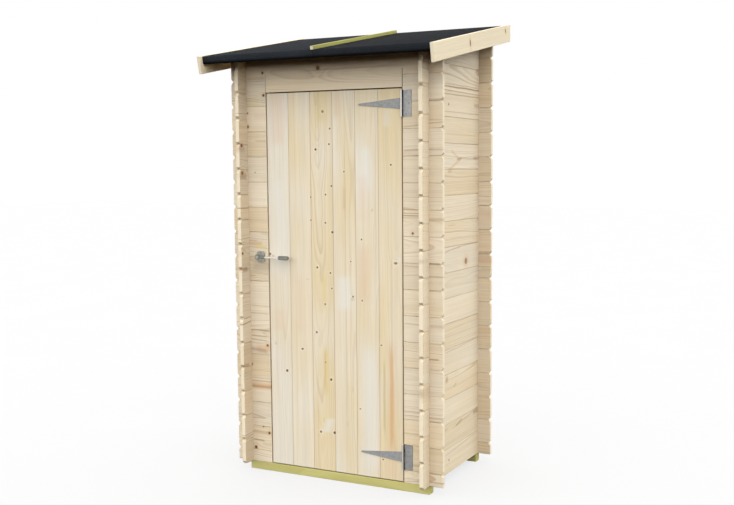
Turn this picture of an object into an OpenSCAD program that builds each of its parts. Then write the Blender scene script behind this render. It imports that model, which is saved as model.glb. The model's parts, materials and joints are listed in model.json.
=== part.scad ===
// Lean-to garden shed of interlocking logs, with a ledged door on tee hinges.
// +X to the right of someone facing the door, +Y towards the rear, +Z up, the ground at z = 0.

/* [Walls] */
// Width over the outer faces of the side walls
wall_w = 935; // [880:5:1200]
// Depth over the outer faces of the front and rear walls
wall_d = 570; // [500:5:800]
// Height of one course of logs
log_h = 114; // [110:1:120]
// Thickness of the logs
log_t = 18; // [16:1:24]
// Whole logs in the front wall, above the half log at its foot
front_logs = 16; // [16:1:18]
// How far the front and rear logs run past the side walls
cross_reach = 64; // [40:1:90]
// How far the side logs run past the front and rear walls
side_reach = 63; // [40:1:90]
// Depth of the corners cut off the log ends
end_cut_in = 10; // [4:1:14]
// Height of the corners cut off the log ends
end_cut_up = 12; // [4:1:16]
// Width of the bevels that make the V joint between two logs
log_ease = 2; // [1:0.5:3]

/* [Base] */
// Height of the bearers
bearer_h = 38; // [30:1:60]
// Depth of the bearers
bearer_d = 40; // [36:1:70]
// Thickness of the floor boards
floor_t = 16; // [14:1:20]
// Number of floor boards
floor_count = 8; // [6:2:10]

/* [Door] */
// Width of the doorway
opening_w = 692; // [600:1:740]
// Height of the door leaf
door_h = 1703; // [1500:1:1715]
// Thickness of the door boards
door_t = 14; // [12:1:16]
// Gap round the door leaf
door_gap = 5.5; // [5:0.5:7]
// Number of door boards
door_count = 6; // [4:2:8]
// Width of the ledges and braces behind the door
ledge_w = 80; // [60:1:95]
// Thickness of the ledges and braces
ledge_t = 18; // [14:1:22]
// How far the header above the door is let into the top log
header_bite = 25.5; // [10:0.5:40]

/* [Hinges and latch] */
// Height of the lower hinge
low_hinge_z = 154; // [120:1:300]
// Height of the upper hinge
high_hinge_z = 1684; // [1400:1:1690]
// Length of the hinge straps
strap_len = 210; // [120:1:300]
// Width of the hinge straps at the knuckle
strap_w = 47; // [30:1:60]
// Height of the hinge plates
plate_h = 111; // [90:1:140]
// Width of the hinge plates
plate_w = 44; // [30:1:55]
// Height of the latch
latch_z = 1008; // [800:1:1200]
// Reach of the latch lever from its pivot
lever_len = 164; // [110:1:180]
// Height of the boss that carries the latch lever
boss_t = 17; // [8:1:24]

/* [Roof] */
// Roof overhang in front of the front wall, along the slope
front_overhang = 158; // [80:1:220]
// Roof overhang behind the rear wall, along the slope
rear_overhang = 84; // [70:1:160]
// Roof overhang at each side, over the barge boards
side_overhang = 102; // [80:1:140]
// Thickness of the roof boards
deck_t = 22; // [16:1:24]
// Number of roof boards
deck_count = 10; // [8:2:12]
// Thickness of the roofing felt
felt_t = 3; // [2:0.5:4]
// Depth of the felt folded down over the front and rear edges
felt_fold = 35; // [24:1:40]
// Depth of the barge boards
barge_h = 78; // [60:1:100]
// Thickness of the barge boards
barge_t = 14; // [12:1:20]
// How far the barge boards run past the felt at the front, where they are cut square
barge_front_tail = 20; // [0:1:40]
// How far the barge boards run past the felt at the rear, where they are cut plumb
barge_rear_tail = 46; // [0:1:60]
// How much further the roof reaches at the left side than at the right
left_extra = 15; // [0:1:30]
// How far the right barge board stands above the felt
right_rise = 1; // [0:1:12]
// How far the left barge board stands above the felt
left_rise = 2; // [0:1:12]

/* [Hidden] */

SPRUCE = [0.90, 0.83, 0.69];
TREATED = [0.74, 0.71, 0.43];
FELT = [0.17, 0.19, 0.22];
ZINC = [0.60, 0.61, 0.63];
CAST = [0.52, 0.55, 0.56];
BRIGHT = [0.80, 0.80, 0.78];

$fn = 48;
// Overshoot that lets a cutting solid pass clean through
over = 1;

// Matched boards: tongue length, and the slack of the tongue in its groove
tongue_len = 6;
tongue_slack = 0.2;
floor_ease = 0.5;
floor_slack = 1;
door_ease = 1.5;
timber_ease = 2;
bearer_ease = 1.5;
// The bearers stop a little inside the left wall
bearer_short = 4;
barge_ease = 1.2;
// Play of one log in the notches of the logs that cross it
notch_play = 0.4;

// The top log of the front wall has rounded corners under its ends
top_end_round_r = 18;

// The roof rises one course between the inner face of the front wall and the rear face
roof_angle = atan(log_h / (wall_d - log_t));
front_top = bearer_h + (front_logs + 0.5) * log_h;
roof_foot = front_top - log_t * tan(roof_angle);
rear_logs = front_logs + 1;
side_logs = front_logs + 2;

deck_right = wall_w / 2 + side_overhang - barge_t;
deck_left = -deck_right - left_extra;
felt_front = -front_overhang;
felt_rear = wall_d / cos(roof_angle) + rear_overhang;
felt_top = deck_t + felt_t;
// Foot of the barge boards along the slope, and how far they reach from front to rear
barge_foot = felt_front - barge_front_tail;
barge_front = barge_foot * cos(roof_angle)
  - (felt_top + max(left_rise, right_rise) - barge_ease) * sin(roof_angle);
barge_rear = felt_rear * cos(roof_angle) - felt_top * sin(roof_angle) + barge_rear_tail;
batten_w = 14;
batten_h = 15;
batten_len = 797;

// Middle of the whole shed from front to rear, which becomes y = 0
middle_y = (barge_front + barge_rear) / 2;

leaf_w = opening_w - 2 * door_gap;
leaf_z = bearer_h + door_gap;
header_z = leaf_z + door_h + door_gap;
header_top = front_top - log_h + header_bite;
// Gaps beside the header, the wider one on the hinge side
header_gap_left = 2;
header_gap_right = 4;

post_w = 45;
post_d = 28;
post_lap = 12;
post_head = 20;
floor_top = bearer_h + floor_t;

ledge_len = 640;
mid_ledge_z = (low_hinge_z + high_hinge_z) / 2;
brace_inset = 20;

hinge_x = opening_w / 2 - door_gap / 2;
sheet_t = 2.5;
pin_r = 3;
pin_slack = 0.1;
knuckle_r = pin_r + sheet_t;
knuckle_gap = 0.4;
knuckle_clear = 0.6;
strap_tip_r = 4;
pin_head_r = 4.6;
pin_head_h = 1.6;
screw_r = 2.2;
// Screw places on a hinge plate and on a strap, measured from the pin and the middle
plate_screws = [[20, plate_h / 2 - 12], [plate_w - 12, 0], [20, 12 - plate_h / 2]];
strap_screws = [[-19, -11], [-36, 10], [-strap_len * 0.53, 0], [-strap_len * 0.84, 0]];

latch_x = -(opening_w / 2 + 39);
rosette_w = 42;
rosette_h = 52;
rosette_t = 5;
rosette_corner_r = 12;
rosette_screw_z = 19.5;
boss_foot_r = 14;
boss_r = 12;
spindle_r = 5;
hub_r = 12;
hub_t = 13;
hub_gap = 0.5;
rod_r = 4.25;
collar_r = 6;
collar_len = 20;
spindle_head_r = 8;
spindle_head_t = 4;
rod_y = rosette_t + boss_t + hub_gap + hub_t / 2;
// The stop under the lever, which holds it level across the door
stop_w = 6;
stop_h = 7;
stop_clear = 0.6;
grip_r = 9.5;
grip_len = 50;
grip_round = 2;
grip_groove = 1.2;

// Foot of log k of the front and rear walls, where log 0 is the half log
function cross_z(k) = bearer_h + (k == 0 ? 0 : (k - 0.5) * log_h);
function side_z(k) = bearer_h + k * log_h;
function steps(first, last) = [for (k = [first:2:last]) k];

module placed() {
  translate([0, -middle_y, 0]) children();
}

// Children drawn on the underside of the roof boards: y runs up the slope, z square to it
module on_roof() {
  translate([0, 0, roof_foot]) rotate([roof_angle, 0, 0]) children();
}

module under_roof() {
  difference() {
    children();
    on_roof() translate([-wall_w, -wall_d, 0]) cube([2 * wall_w, 3 * wall_d, log_h * 3]);
  }
}

// A plain bar of timber with its four long edges eased, lying along x
module timber(len, w, h, ease = timber_ease) {
  rotate([90, 0, 90]) linear_extrude(len) polygon([
    [ease, 0], [w - ease, 0], [w, ease], [w, h - ease],
    [w - ease, h], [ease, h], [0, h - ease], [0, ease]
  ]);
}

// A countersunk screw hole whose mouth is at z = 0, going down
module screw_hole(depth) {
  translate([0, 0, -depth - over]) cylinder(r = screw_r, h = depth + 2 * over);
  translate([0, 0, -screw_r]) cylinder(r1 = screw_r, r2 = 2 * screw_r, h = screw_r);
}

// Outline of a matched board: x across its thickness, y across its width, the tongue at the top
module matched_outline(width, thick, ease, tongue = true, groove = true) {
  mid = thick / 2;
  tongue_half = thick / 6;
  groove_half = tongue_half + tongue_slack;
  groove_len = tongue_len + 2 * tongue_slack;
  top = !tongue ? [] : [
    [mid - tongue_half, width], [mid - tongue_half, width + tongue_len],
    [mid + tongue_half, width + tongue_len], [mid + tongue_half, width]
  ];
  foot = !groove ? [] : [
    [mid + groove_half, 0], [mid + groove_half, groove_len],
    [mid - groove_half, groove_len], [mid - groove_half, 0]
  ];
  polygon(concat(
    [[0, ease], [0, width - ease], [ease, width]], top,
    [[thick - ease, width], [thick, width - ease], [thick, ease], [thick - ease, 0]], foot,
    [[ease, 0]]
  ));
}

// Corners cut off the end of a log at x = 0, the log lying towards +x. The lower one is a
// quarter round where foot_round gives its radius, and a half log has none.
module end_cuts(h, whole, foot_round) {
  rotate([90, 0, 0]) translate([0, 0, -log_t - over]) linear_extrude(log_t + 2 * over) {
    polygon([[-over, h - end_cut_up], [0, h - end_cut_up], [end_cut_in, h],
             [end_cut_in, h + tongue_len + over], [-over, h + tongue_len + over]]);
    if (foot_round > 0) difference() {
      translate([-over, -over]) square(foot_round + over);
      translate([foot_round, foot_round]) circle(r = foot_round);
    }
    else if (whole) polygon([[-over, end_cut_up], [0, end_cut_up], [end_cut_in, 0],
                             [end_cut_in, -over], [-over, -over]]);
  }
}

// A log lying along x, its outer face at y = 0 and its foot at z = 0. It is notched a
// quarter of a course above and below where other walls cross it, and cut at its free ends.
module log(x0, x1, crossings, left_end = true, right_end = true, h = log_h,
           groove = true, whole = true, foot_round = 0) {
  notch = log_h / 4;
  slot = log_t + notch_play;
  difference() {
    translate([x0, 0, 0]) rotate([90, 0, 90])
      linear_extrude(x1 - x0) matched_outline(h, log_t, log_ease, groove = groove);
    for (x = crossings) translate([x - notch_play / 2, -over, 0]) {
      translate([0, 0, h - notch]) cube([slot, log_t + 2 * over, notch + tongue_len + over]);
      if (whole) translate([0, 0, -over]) cube([slot, log_t + 2 * over, notch + over]);
    }
    if (left_end) translate([x0, 0, 0]) end_cuts(h, whole, foot_round);
    if (right_end) translate([x1, log_t, 0]) rotate([0, 0, 180]) end_cuts(h, whole, foot_round);
  }
}

// Log k of the front or rear wall; log 0 is a half log that lies flat on its bearer
module cross_log(k, x0, x1, crossings, left_end = true, right_end = true) {
  translate([0, 0, cross_z(k)])
    log(x0, x1, crossings, left_end, right_end, h = k == 0 ? log_h / 2 : log_h,
        groove = k > 0, whole = k > 0);
}

left_crossing = -wall_w / 2;
right_crossing = wall_w / 2 - log_t;
cross_end = wall_w / 2 + cross_reach;

// Every other short log to the left of the doorway
module front_left_logs(first) {
  color(SPRUCE) placed() for (k = steps(first, front_logs - 1))
    cross_log(k, -cross_end, -opening_w / 2, [left_crossing], right_end = false);
}

// Every other short log to the right of the doorway
module front_right_logs(first) {
  color(SPRUCE) placed() for (k = steps(first, front_logs - 1))
    cross_log(k, opening_w / 2, cross_end, [right_crossing], left_end = false);
}

// The header is let into the foot of this log, over the doorway
module front_top_log() {
  color(SPRUCE) placed() under_roof() translate([0, 0, cross_z(front_logs)]) difference() {
    log(-cross_end, cross_end, [left_crossing, right_crossing], foot_round = top_end_round_r);
    translate([-opening_w / 2, -over, -over])
      cube([opening_w, log_t + 2 * over, header_bite + over]);
  }
}

module door_header() {
  color(SPRUCE) placed()
    translate([header_gap_left - opening_w / 2, 0, header_z])
      cube([opening_w - header_gap_left - header_gap_right, log_t, header_top - header_z]);
}

// Every other log of the rear wall, the top one bevelled to the roof
module rear_wall_logs(first) {
  color(SPRUCE) placed() under_roof() translate([0, wall_d - log_t, 0])
    for (k = steps(first, rear_logs))
      cross_log(k, -cross_end, cross_end, [left_crossing, right_crossing]);
}

// Every other log of the side wall whose right-hand face is at x = face, cut to the roof slope
module side_wall_logs(first, face) {
  color(SPRUCE) placed() under_roof() translate([face, 0, 0]) rotate([0, 0, 90])
    for (k = steps(first, side_logs - 1)) translate([0, 0, side_z(k)])
      log(-side_reach, wall_d + side_reach, [0, wall_d - log_t], groove = k > 0);
}

module bearer(y) {
  color(TREATED) placed() translate([bearer_short - wall_w / 2, y, 0])
    timber(wall_w - bearer_short, bearer_d, bearer_h, bearer_ease);
}

// Every other board of the floor, laid front to rear on the inner halves of the bearers
module floor_boards(first) {
  room_w = wall_w - 2 * log_t;
  pitch = room_w / floor_count;
  color(SPRUCE) placed() for (k = steps(first, floor_count - 1))
    translate([pitch * k - room_w / 2, wall_d - log_t - floor_slack, bearer_h])
      rotate([90, -90, 0]) mirror([0, 1, 0])
        linear_extrude(wall_d - 2 * (log_t + floor_slack))
          matched_outline(pitch, floor_t, floor_ease, k < floor_count - 1, k > 0);
}

// A post behind the stub logs beside the doorway, which also stops the door
module door_post(x) {
  color(SPRUCE) placed() translate([x, log_t, front_top - post_head]) rotate([0, 90, 0])
    timber(front_top - post_head - floor_top, post_d, post_w);
}

// Every other board of the roof, laid up the slope from the front wall to the rear wall
module roof_boards(first) {
  pitch = (deck_right - deck_left) / deck_count;
  color(SPRUCE) placed() on_roof() for (k = steps(first, deck_count - 1))
    translate([deck_left + pitch * k, felt_rear - felt_t, 0])
      rotate([90, -90, 0]) mirror([0, 1, 0])
        linear_extrude(felt_rear - felt_front - 2 * felt_t)
          matched_outline(pitch, deck_t, floor_ease, k < deck_count - 1, k > 0);
}

// An outline across the roof, drawn down the slope from y
module down_slope(y, len, outline) {
  translate([0, y, 0]) rotate([90, 0, 0]) linear_extrude(len) polygon(outline);
}

// A strip of felt from the middle of the roof to one edge, turned down at its front and rear
module roofing_felt(edge) {
  foot = felt_top - felt_fold;
  color(FELT) placed() on_roof() {
    down_slope(felt_rear, felt_rear - felt_front,
               [[0, deck_t], [edge, deck_t], [edge, felt_top], [0, felt_top]]);
    for (y = [felt_rear, felt_front + felt_t])
      down_slope(y, felt_t, [[0, foot], [edge, foot], [edge, felt_top], [0, felt_top]]);
  }
}

module roof_batten() {
  color(TREATED) placed() on_roof() translate([batten_w / 2, felt_front, felt_top])
    rotate([0, 0, 90]) timber(batten_len, batten_w, batten_h, barge_ease);
}

// A board along the edge of the roof, square at its foot and plumb at its top end
module barge_board(x, rise) {
  len = barge_rear / cos(roof_angle) - barge_foot + barge_h;
  color(SPRUCE) placed() difference() {
    on_roof() translate([x + barge_t, barge_foot, felt_top + rise - barge_h])
      rotate([0, 0, 90]) timber(len, barge_t, barge_h, barge_ease);
    translate([x - over, barge_rear, 0]) cube([barge_t + 2 * over, wall_d, 2 * front_top]);
  }
}

// Every other board of the door, their faces flush with the front wall
module door_boards(first) {
  pitch = leaf_w / door_count;
  color(SPRUCE) placed() for (k = steps(first, door_count - 1))
    translate([pitch * k - leaf_w / 2, 0, leaf_z]) mirror([1, 0, 0]) rotate([0, 0, 90])
      linear_extrude(door_h)
        matched_outline(pitch, door_t, door_ease, k < door_count - 1, k > 0);
}

module door_ledges() {
  color(SPRUCE) placed() for (z = [low_hinge_z, mid_ledge_z, high_hinge_z])
    translate([-ledge_len / 2, door_t, z - ledge_w / 2]) timber(ledge_len, ledge_t, ledge_w);
}

// Braces from the hinge side up to the lock side, between one ledge and the next
module door_braces() {
  run = ledge_len / 2 - brace_inset;
  color(SPRUCE) placed() for (z = [low_hinge_z, mid_ledge_z])
    translate([0, door_t + ledge_t, z + ledge_w / 2]) rotate([90, 0, 0]) linear_extrude(ledge_t) {
      rise = mid_ledge_z - low_hinge_z - ledge_w;
      polygon([[run - ledge_w, 0], [run, 0], [ledge_w - run, rise], [-run, rise]]);
    }
}

module on_hinge(z) {
  translate([hinge_x, -knuckle_r, z]) children();
}

module knuckle(foot, top) {
  translate([0, 0, foot]) cylinder(r = knuckle_r, h = top - foot);
}

module pin_bore() {
  translate([0, 0, -plate_h]) cylinder(r = pin_r + pin_slack, h = 2 * plate_h);
}

// Screw holes through a hinge sheet, countersunk from the front
module screw_holes(places) {
  for (p = places) translate([p[0], knuckle_r - sheet_t, p[1]]) rotate([90, 0, 0])
    screw_hole(sheet_t);
}

// Plate screwed to the stub logs, with a knuckle above and below that of the strap
module hinge_plate(z) {
  inner = strap_w / 2 + knuckle_gap;
  color(ZINC) placed() on_hinge(z) difference() {
    union() {
      knuckle(inner, plate_h / 2);
      knuckle(-plate_h / 2, -inner);
      translate([0, knuckle_r - sheet_t, -plate_h / 2]) cube([plate_w, sheet_t, plate_h]);
    }
    translate([-knuckle_r - over, -knuckle_r - over, -inner])
      cube([2 * knuckle_r + over + knuckle_clear, 2 * knuckle_r + 2 * over, 2 * inner]);
    pin_bore();
    screw_holes(plate_screws);
  }
}

// Strap that tapers from its knuckle to a round tip
module hinge_strap(z) {
  tip = strap_len - strap_tip_r;
  lean = asin((strap_w / 2 - strap_tip_r) / tip);
  color(ZINC) placed() on_hinge(z) difference() {
    union() {
      knuckle(-strap_w / 2, strap_w / 2);
      translate([0, knuckle_r, 0]) rotate([90, 0, 0]) linear_extrude(sheet_t) {
        polygon([[0, strap_w / 2], [0, -strap_w / 2],
                 [-tip - strap_tip_r * sin(lean), -strap_tip_r * cos(lean)],
                 [-tip - strap_tip_r * sin(lean), strap_tip_r * cos(lean)]]);
        translate([-tip, 0]) circle(r = strap_tip_r);
      }
    }
    pin_bore();
    screw_holes(strap_screws);
  }
}

module hinge_pin(z) {
  color(BRIGHT) placed() on_hinge(z) {
    translate([0, 0, -plate_h / 2 - pin_head_h]) cylinder(r = pin_r, h = plate_h + 2 * pin_head_h);
    for (foot = [-plate_h / 2 - pin_head_h, plate_h / 2])
      translate([0, 0, foot]) cylinder(r = pin_head_r, h = pin_head_h);
  }
}

// Children drawn about the latch pivot, z running out from the wall
module on_latch() {
  translate([latch_x, 0, latch_z]) rotate([90, 0, 0]) children();
}

// A plate with round corners, drawn flat about its middle
module round_plate(w, h, corner_r) {
  square([w, h - 2 * corner_r], center = true);
  square([w - 2 * corner_r, h], center = true);
  for (x = [-1, 1], y = [-1, 1])
    translate([x * (w / 2 - corner_r), y * (h / 2 - corner_r)]) circle(r = corner_r);
}

// Casting with two screws through its plate, a boss that carries the spindle, and a stop that
// the lever comes down on
module latch_rosette() {
  spindle_top = rosette_t + boss_t + hub_t + 2 * hub_gap;
  color(CAST) placed() on_latch() difference() {
    union() {
      linear_extrude(rosette_t) round_plate(rosette_w, rosette_h, rosette_corner_r);
      translate([0, 0, rosette_t]) cylinder(r1 = boss_foot_r, r2 = boss_r, h = boss_t);
      cylinder(r = spindle_r, h = spindle_top + spindle_head_t);
      translate([0, 0, spindle_top])
        cylinder(r1 = spindle_head_r, r2 = spindle_head_r - 2, h = spindle_head_t);
      translate([hub_r + stop_clear, -rod_r - stop_clear - stop_h, 0])
        cube([stop_w, stop_h, rod_y + rod_r]);
    }
    for (side = [-1, 1]) translate([0, side * rosette_screw_z, rosette_t]) screw_hole(rosette_t);
  }
}

// Hub that turns on the spindle, a collar, and the rod that reaches across the door
module latch_lever() {
  color(BRIGHT) placed() on_latch() translate([0, 0, rod_y]) difference() {
    union() {
      translate([0, 0, -hub_t / 2]) cylinder(r = hub_r, h = hub_t);
      rotate([0, 90, 0]) {
        cylinder(r = rod_r, h = lever_len - grip_len);
        translate([0, 0, hub_r + stop_clear + stop_w]) cylinder(r = collar_r, h = collar_len);
      }
    }
    translate([0, 0, -hub_t]) cylinder(r = spindle_r + pin_slack, h = 2 * hub_t);
  }
}

// Sleeve on the end of the lever, with a ring turned in it near each end
module latch_grip() {
  ring = grip_len / 8;
  ends = [ring, grip_len - ring];
  color(CAST) placed() on_latch() translate([lever_len - grip_len, 0, rod_y])
    rotate([0, 90, 0]) rotate_extrude() difference() {
      polygon([[0, 0], [grip_r - grip_round, 0], [grip_r, grip_round],
               [grip_r, grip_len - grip_round], [grip_r - grip_round, grip_len], [0, grip_len]]);
      for (z = ends) translate([grip_r, z]) circle(r = grip_groove, $fn = 4);
    }
}

bearer(0);  // front_bearer
bearer(wall_d - bearer_d);  // rear_bearer
floor_boards(0);  // floor_boards_odd
floor_boards(1);  // floor_boards_even
front_left_logs(1);  // front_left_logs_odd
front_left_logs(0);  // front_left_logs_even
front_right_logs(1);  // front_right_logs_odd
front_right_logs(0);  // front_right_logs_even
front_top_log();
door_header();
rear_wall_logs(1);  // rear_logs_odd
rear_wall_logs(0);  // rear_logs_even
side_wall_logs(1, log_t - wall_w / 2);  // left_wall_logs_odd
side_wall_logs(0, log_t - wall_w / 2);  // left_wall_logs_even
side_wall_logs(1, wall_w / 2);  // right_wall_logs_odd
side_wall_logs(0, wall_w / 2);  // right_wall_logs_even
door_post(post_lap - opening_w / 2 - post_w);  // left_door_post
door_post(opening_w / 2 - post_lap);  // right_door_post
roof_boards(1);  // roof_boards_odd
roof_boards(0);  // roof_boards_even
roofing_felt(deck_left);  // left_roofing_felt
roofing_felt(deck_right);  // right_roofing_felt
roof_batten();
barge_board(deck_left - barge_t, left_rise);  // left_barge_board
barge_board(deck_right, right_rise);  // right_barge_board
door_boards(1);  // door_boards_odd
door_boards(0);  // door_boards_even
door_ledges();
door_braces();
hinge_plate(low_hinge_z);  // lower_hinge_plate
hinge_plate(high_hinge_z);  // upper_hinge_plate
hinge_pin(low_hinge_z);  // lower_hinge_pin
hinge_pin(high_hinge_z);  // upper_hinge_pin
hinge_strap(low_hinge_z);  // lower_hinge_strap
hinge_strap(high_hinge_z);  // upper_hinge_strap
latch_rosette();
latch_lever();
latch_grip();
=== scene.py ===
"""Finishes a narrow lean-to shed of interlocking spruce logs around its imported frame.

The frame holds every log, board and fitting at its real place and size, in metres, with +X to the
right of someone facing the door, +Y towards the rear wall and +Z up from the ground. This script
gives them their timber, felt and metal, adds the screws, and lights them.
"""

from __future__ import annotations

import json
import logging
import math
from contextlib import contextmanager
from dataclasses import dataclass
from enum import Enum
from typing import Callable, Iterable, Iterator, Mapping, Sequence

import bpy
from mathutils import Matrix, Vector

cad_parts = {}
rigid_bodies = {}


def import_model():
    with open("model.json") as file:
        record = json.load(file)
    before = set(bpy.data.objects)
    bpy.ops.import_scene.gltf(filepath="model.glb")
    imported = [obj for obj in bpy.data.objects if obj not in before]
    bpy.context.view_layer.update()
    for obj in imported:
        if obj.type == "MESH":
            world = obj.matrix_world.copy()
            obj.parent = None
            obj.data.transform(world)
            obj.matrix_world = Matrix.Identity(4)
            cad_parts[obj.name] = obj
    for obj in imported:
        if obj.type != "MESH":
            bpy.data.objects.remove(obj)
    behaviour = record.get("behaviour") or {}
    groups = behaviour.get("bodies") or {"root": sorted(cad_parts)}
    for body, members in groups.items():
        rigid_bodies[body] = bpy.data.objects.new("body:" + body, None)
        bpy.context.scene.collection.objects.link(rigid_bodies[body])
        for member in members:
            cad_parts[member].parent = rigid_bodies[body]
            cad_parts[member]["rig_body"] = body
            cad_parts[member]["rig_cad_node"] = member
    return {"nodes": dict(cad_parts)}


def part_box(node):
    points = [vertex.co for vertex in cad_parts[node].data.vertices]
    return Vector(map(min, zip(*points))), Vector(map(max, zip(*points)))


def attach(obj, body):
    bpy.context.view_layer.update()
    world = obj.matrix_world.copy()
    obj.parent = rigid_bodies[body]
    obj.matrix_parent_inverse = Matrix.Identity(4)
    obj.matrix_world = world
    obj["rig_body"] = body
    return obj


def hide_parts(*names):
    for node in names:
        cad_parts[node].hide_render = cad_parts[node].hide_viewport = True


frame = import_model()

log = logging.getLogger("shed")

Socket = bpy.types.NodeSocket
Outputs = bpy.types.NodeOutputs
Colour = tuple[float, float, float]
Point = tuple[float, float, float]
Row = tuple[float | Colour, ...]

MM = 0.001


# ---------------------------------------------------------------------------
# Laying out shader nodes
# ---------------------------------------------------------------------------


class Graph:
    """Adds nodes to one node tree and wires them together."""

    def __init__(self, tree: bpy.types.NodeTree) -> None:
        """Takes the tree that the nodes go into."""
        self.tree = tree

    def add(self, kind: str, inputs: Mapping[str | int, object] | None = None,
            **settings: object) -> Outputs:
        """Adds a node.

        Args:
            kind: The node's type, without its ShaderNode prefix.
            inputs: What feeds its inputs, by name or number: sockets or plain values.
            settings: Properties of the node and their values.

        Returns:
            The node's outputs.
        """
        node = self.tree.nodes.new("ShaderNode" + kind)
        for name, value in settings.items():
            setattr(node, name, value)
        for key, value in (inputs or {}).items():
            self.feed(node.inputs[key], value)
        return node.outputs

    def feed(self, target: Socket, value: object) -> None:
        """Wires a socket to a target, or sets a plain value on it.

        Args:
            target: The input that is fed.
            value: A socket, a number, a vector or a colour.
        """
        if isinstance(value, bpy.types.NodeSocket):
            self.tree.links.new(value, target)
        elif target.type == "RGBA" and len(value) == 3:
            target.default_value = (*value, 1.0)
        else:
            target.default_value = value

    def math(self, operation: str, *values: object) -> Socket:
        """Returns the result of an operation on numbers."""
        return self.add("Math", dict(enumerate(values)), operation=operation)[0]

    def times(self, a: object, b: object) -> Socket:
        """Returns a times b."""
        return self.math("MULTIPLY", a, b)

    def plus(self, a: object, b: object) -> Socket:
        """Returns a plus b."""
        return self.math("ADD", a, b)

    def less(self, a: object, b: object) -> Socket:
        """Returns a less b."""
        return self.math("SUBTRACT", a, b)

    def scaled(self, a: object, factor: object, offset: object) -> Socket:
        """Returns a times factor, plus offset."""
        return self.math("MULTIPLY_ADD", a, factor, offset)

    def about(self, value: object, width: float) -> Socket:
        """Returns a value from 0 to 1 spread over this width, with its middle at 0."""
        return self.scaled(value, width, -width / 2)

    def clamped(self, value: object) -> Socket:
        """Returns a value kept between 0 and 1."""
        return self.math("MINIMUM", self.math("MAXIMUM", value, 0.0), 1.0)

    def step(self, value: object, low: object, high: object, *ends: float) -> Socket:
        """Returns a smooth step from low to high, between 0 and 1 or between the ends given."""
        values = dict(enumerate((value, low, high, *ends)))
        return self.add("MapRange", values, interpolation_type="SMOOTHSTEP")[0]

    def fall(self, value: object, low: object, high: object) -> Socket:
        """Returns a smooth step down from 1 to 0."""
        return self.step(value, low, high, 1.0, 0.0)

    def hump(self, value: object, foot: float, top: float, brow: float, end: float) -> Socket:
        """Returns a smooth rise from foot to top, and a smooth fall from brow to end."""
        return self.times(self.step(value, foot, top), self.fall(value, brow, end))

    def vector(self, operation: str, *values: object) -> Socket:
        """Returns the vector that an operation on vectors gives."""
        return self.add("VectorMath", dict(enumerate(values)), operation=operation)["Vector"]

    def times_all(self, vector: Socket, factor: Socket) -> Socket:
        """Returns a vector with each of its parts times a factor."""
        inputs = {"Vector": vector, "Scale": factor}
        return self.add("VectorMath", inputs, operation="SCALE")["Vector"]

    def distance(self, a: object, b: object) -> Socket:
        """Returns the distance between two points."""
        return self.add("VectorMath", {0: a, 1: b}, operation="DISTANCE")["Value"]

    def turned(self, vector: Socket, angle: float) -> Socket:
        """Returns a vector turned about the X axis."""
        inputs = {"Vector": vector, "Angle": angle}
        return self.add("VectorRotate", inputs, rotation_type="X_AXIS")[0]

    def parts(self, vector: Socket) -> tuple[Socket, ...]:
        """Returns a vector's X, Y and Z."""
        return tuple(self.add("SeparateXYZ", {0: vector}))

    def join(self, *parts: object) -> Socket:
        """Returns the vector with these X, Y and Z."""
        return self.add("CombineXYZ", dict(enumerate(parts)))[0]

    def split(self, colour: Socket) -> tuple[Socket, ...]:
        """Returns a colour's red, green and blue."""
        return tuple(self.add("SeparateColor", {0: colour}))

    def blend(self, factor: object, a: object, b: object, kind: str = "MIX") -> Socket:
        """Returns colour a mixed with colour b by a factor."""
        return self.add("Mix", {0: factor, 6: a, 7: b}, data_type="RGBA", blend_type=kind)[2]

    def noise(self, vector: Socket, scale: float = 1.0, detail: float = 1.0,
              roughness: float = 0.5) -> Outputs:
        """Returns the number and the colour of smooth noise over a vector."""
        return self.add("TexNoise", {"Vector": vector, "Scale": scale, "Detail": detail,
                                     "Roughness": roughness})

    def luck(self, *values: object) -> tuple[Socket, ...]:
        """Returns three random numbers from 0 to 1 that depend on three values."""
        place = {"Vector": self.join(*values)}
        return self.split(self.add("TexWhiteNoise", place, noise_dimensions="3D")["Color"])

    def bumped(self, height: Socket, strength: float) -> Socket:
        """Returns the normals that a height in metres gives."""
        return self.add("Bump", {"Strength": strength, "Distance": 1.0, "Height": height})[0]

    def group(self, effect: "Effect", **values: object) -> Outputs:
        """Places an effect's node group, feeds its inputs by name, and returns its outputs."""
        return self.add("Group", values, node_tree=effect.tree())


class Port(Enum):
    """The kinds of socket that a node group has."""

    NUMBER = "NodeSocketFloat"
    PLACE = "NodeSocketVector"
    COLOUR = "NodeSocketColor"


@dataclass(frozen=True)
class Effect:
    """A node group that materials share.

    Lay puts its nodes down: it takes the graph and the inputs by name, and returns the outputs.
    """

    name: str
    lay: Callable[[Graph, dict[str, Socket]], dict[str, Socket]]
    places: tuple[str, ...]
    numbers: tuple[str, ...]
    colours: tuple[str, ...]
    gives: tuple[str, ...]

    def tree(self) -> bpy.types.NodeTree:
        """Returns the group's tree, which is built the first time it is asked for."""
        return bpy.data.node_groups.get(self.name) or self.built()

    def built(self) -> bpy.types.NodeTree:
        """Builds the group's tree."""
        tree = bpy.data.node_groups.new(self.name, "ShaderNodeTree")
        kinds = {Port.PLACE: self.places, Port.NUMBER: self.numbers, Port.COLOUR: self.colours}
        for port, titles in kinds.items():
            for title in titles:
                tree.interface.new_socket(title, in_out="INPUT", socket_type=port.value)
        for title in self.gives:
            port = Port.COLOUR if title == "Color" else Port.NUMBER
            tree.interface.new_socket(title, in_out="OUTPUT", socket_type=port.value)
        graph = Graph(tree)
        way_in = tree.nodes.new("NodeGroupInput").outputs
        way_out = tree.nodes.new("NodeGroupOutput").inputs
        given = {title: way_in[title] for titles in kinds.values() for title in titles}
        for title, result in self.lay(graph, given).items():
            graph.feed(way_out[title], result)
        return tree


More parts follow.
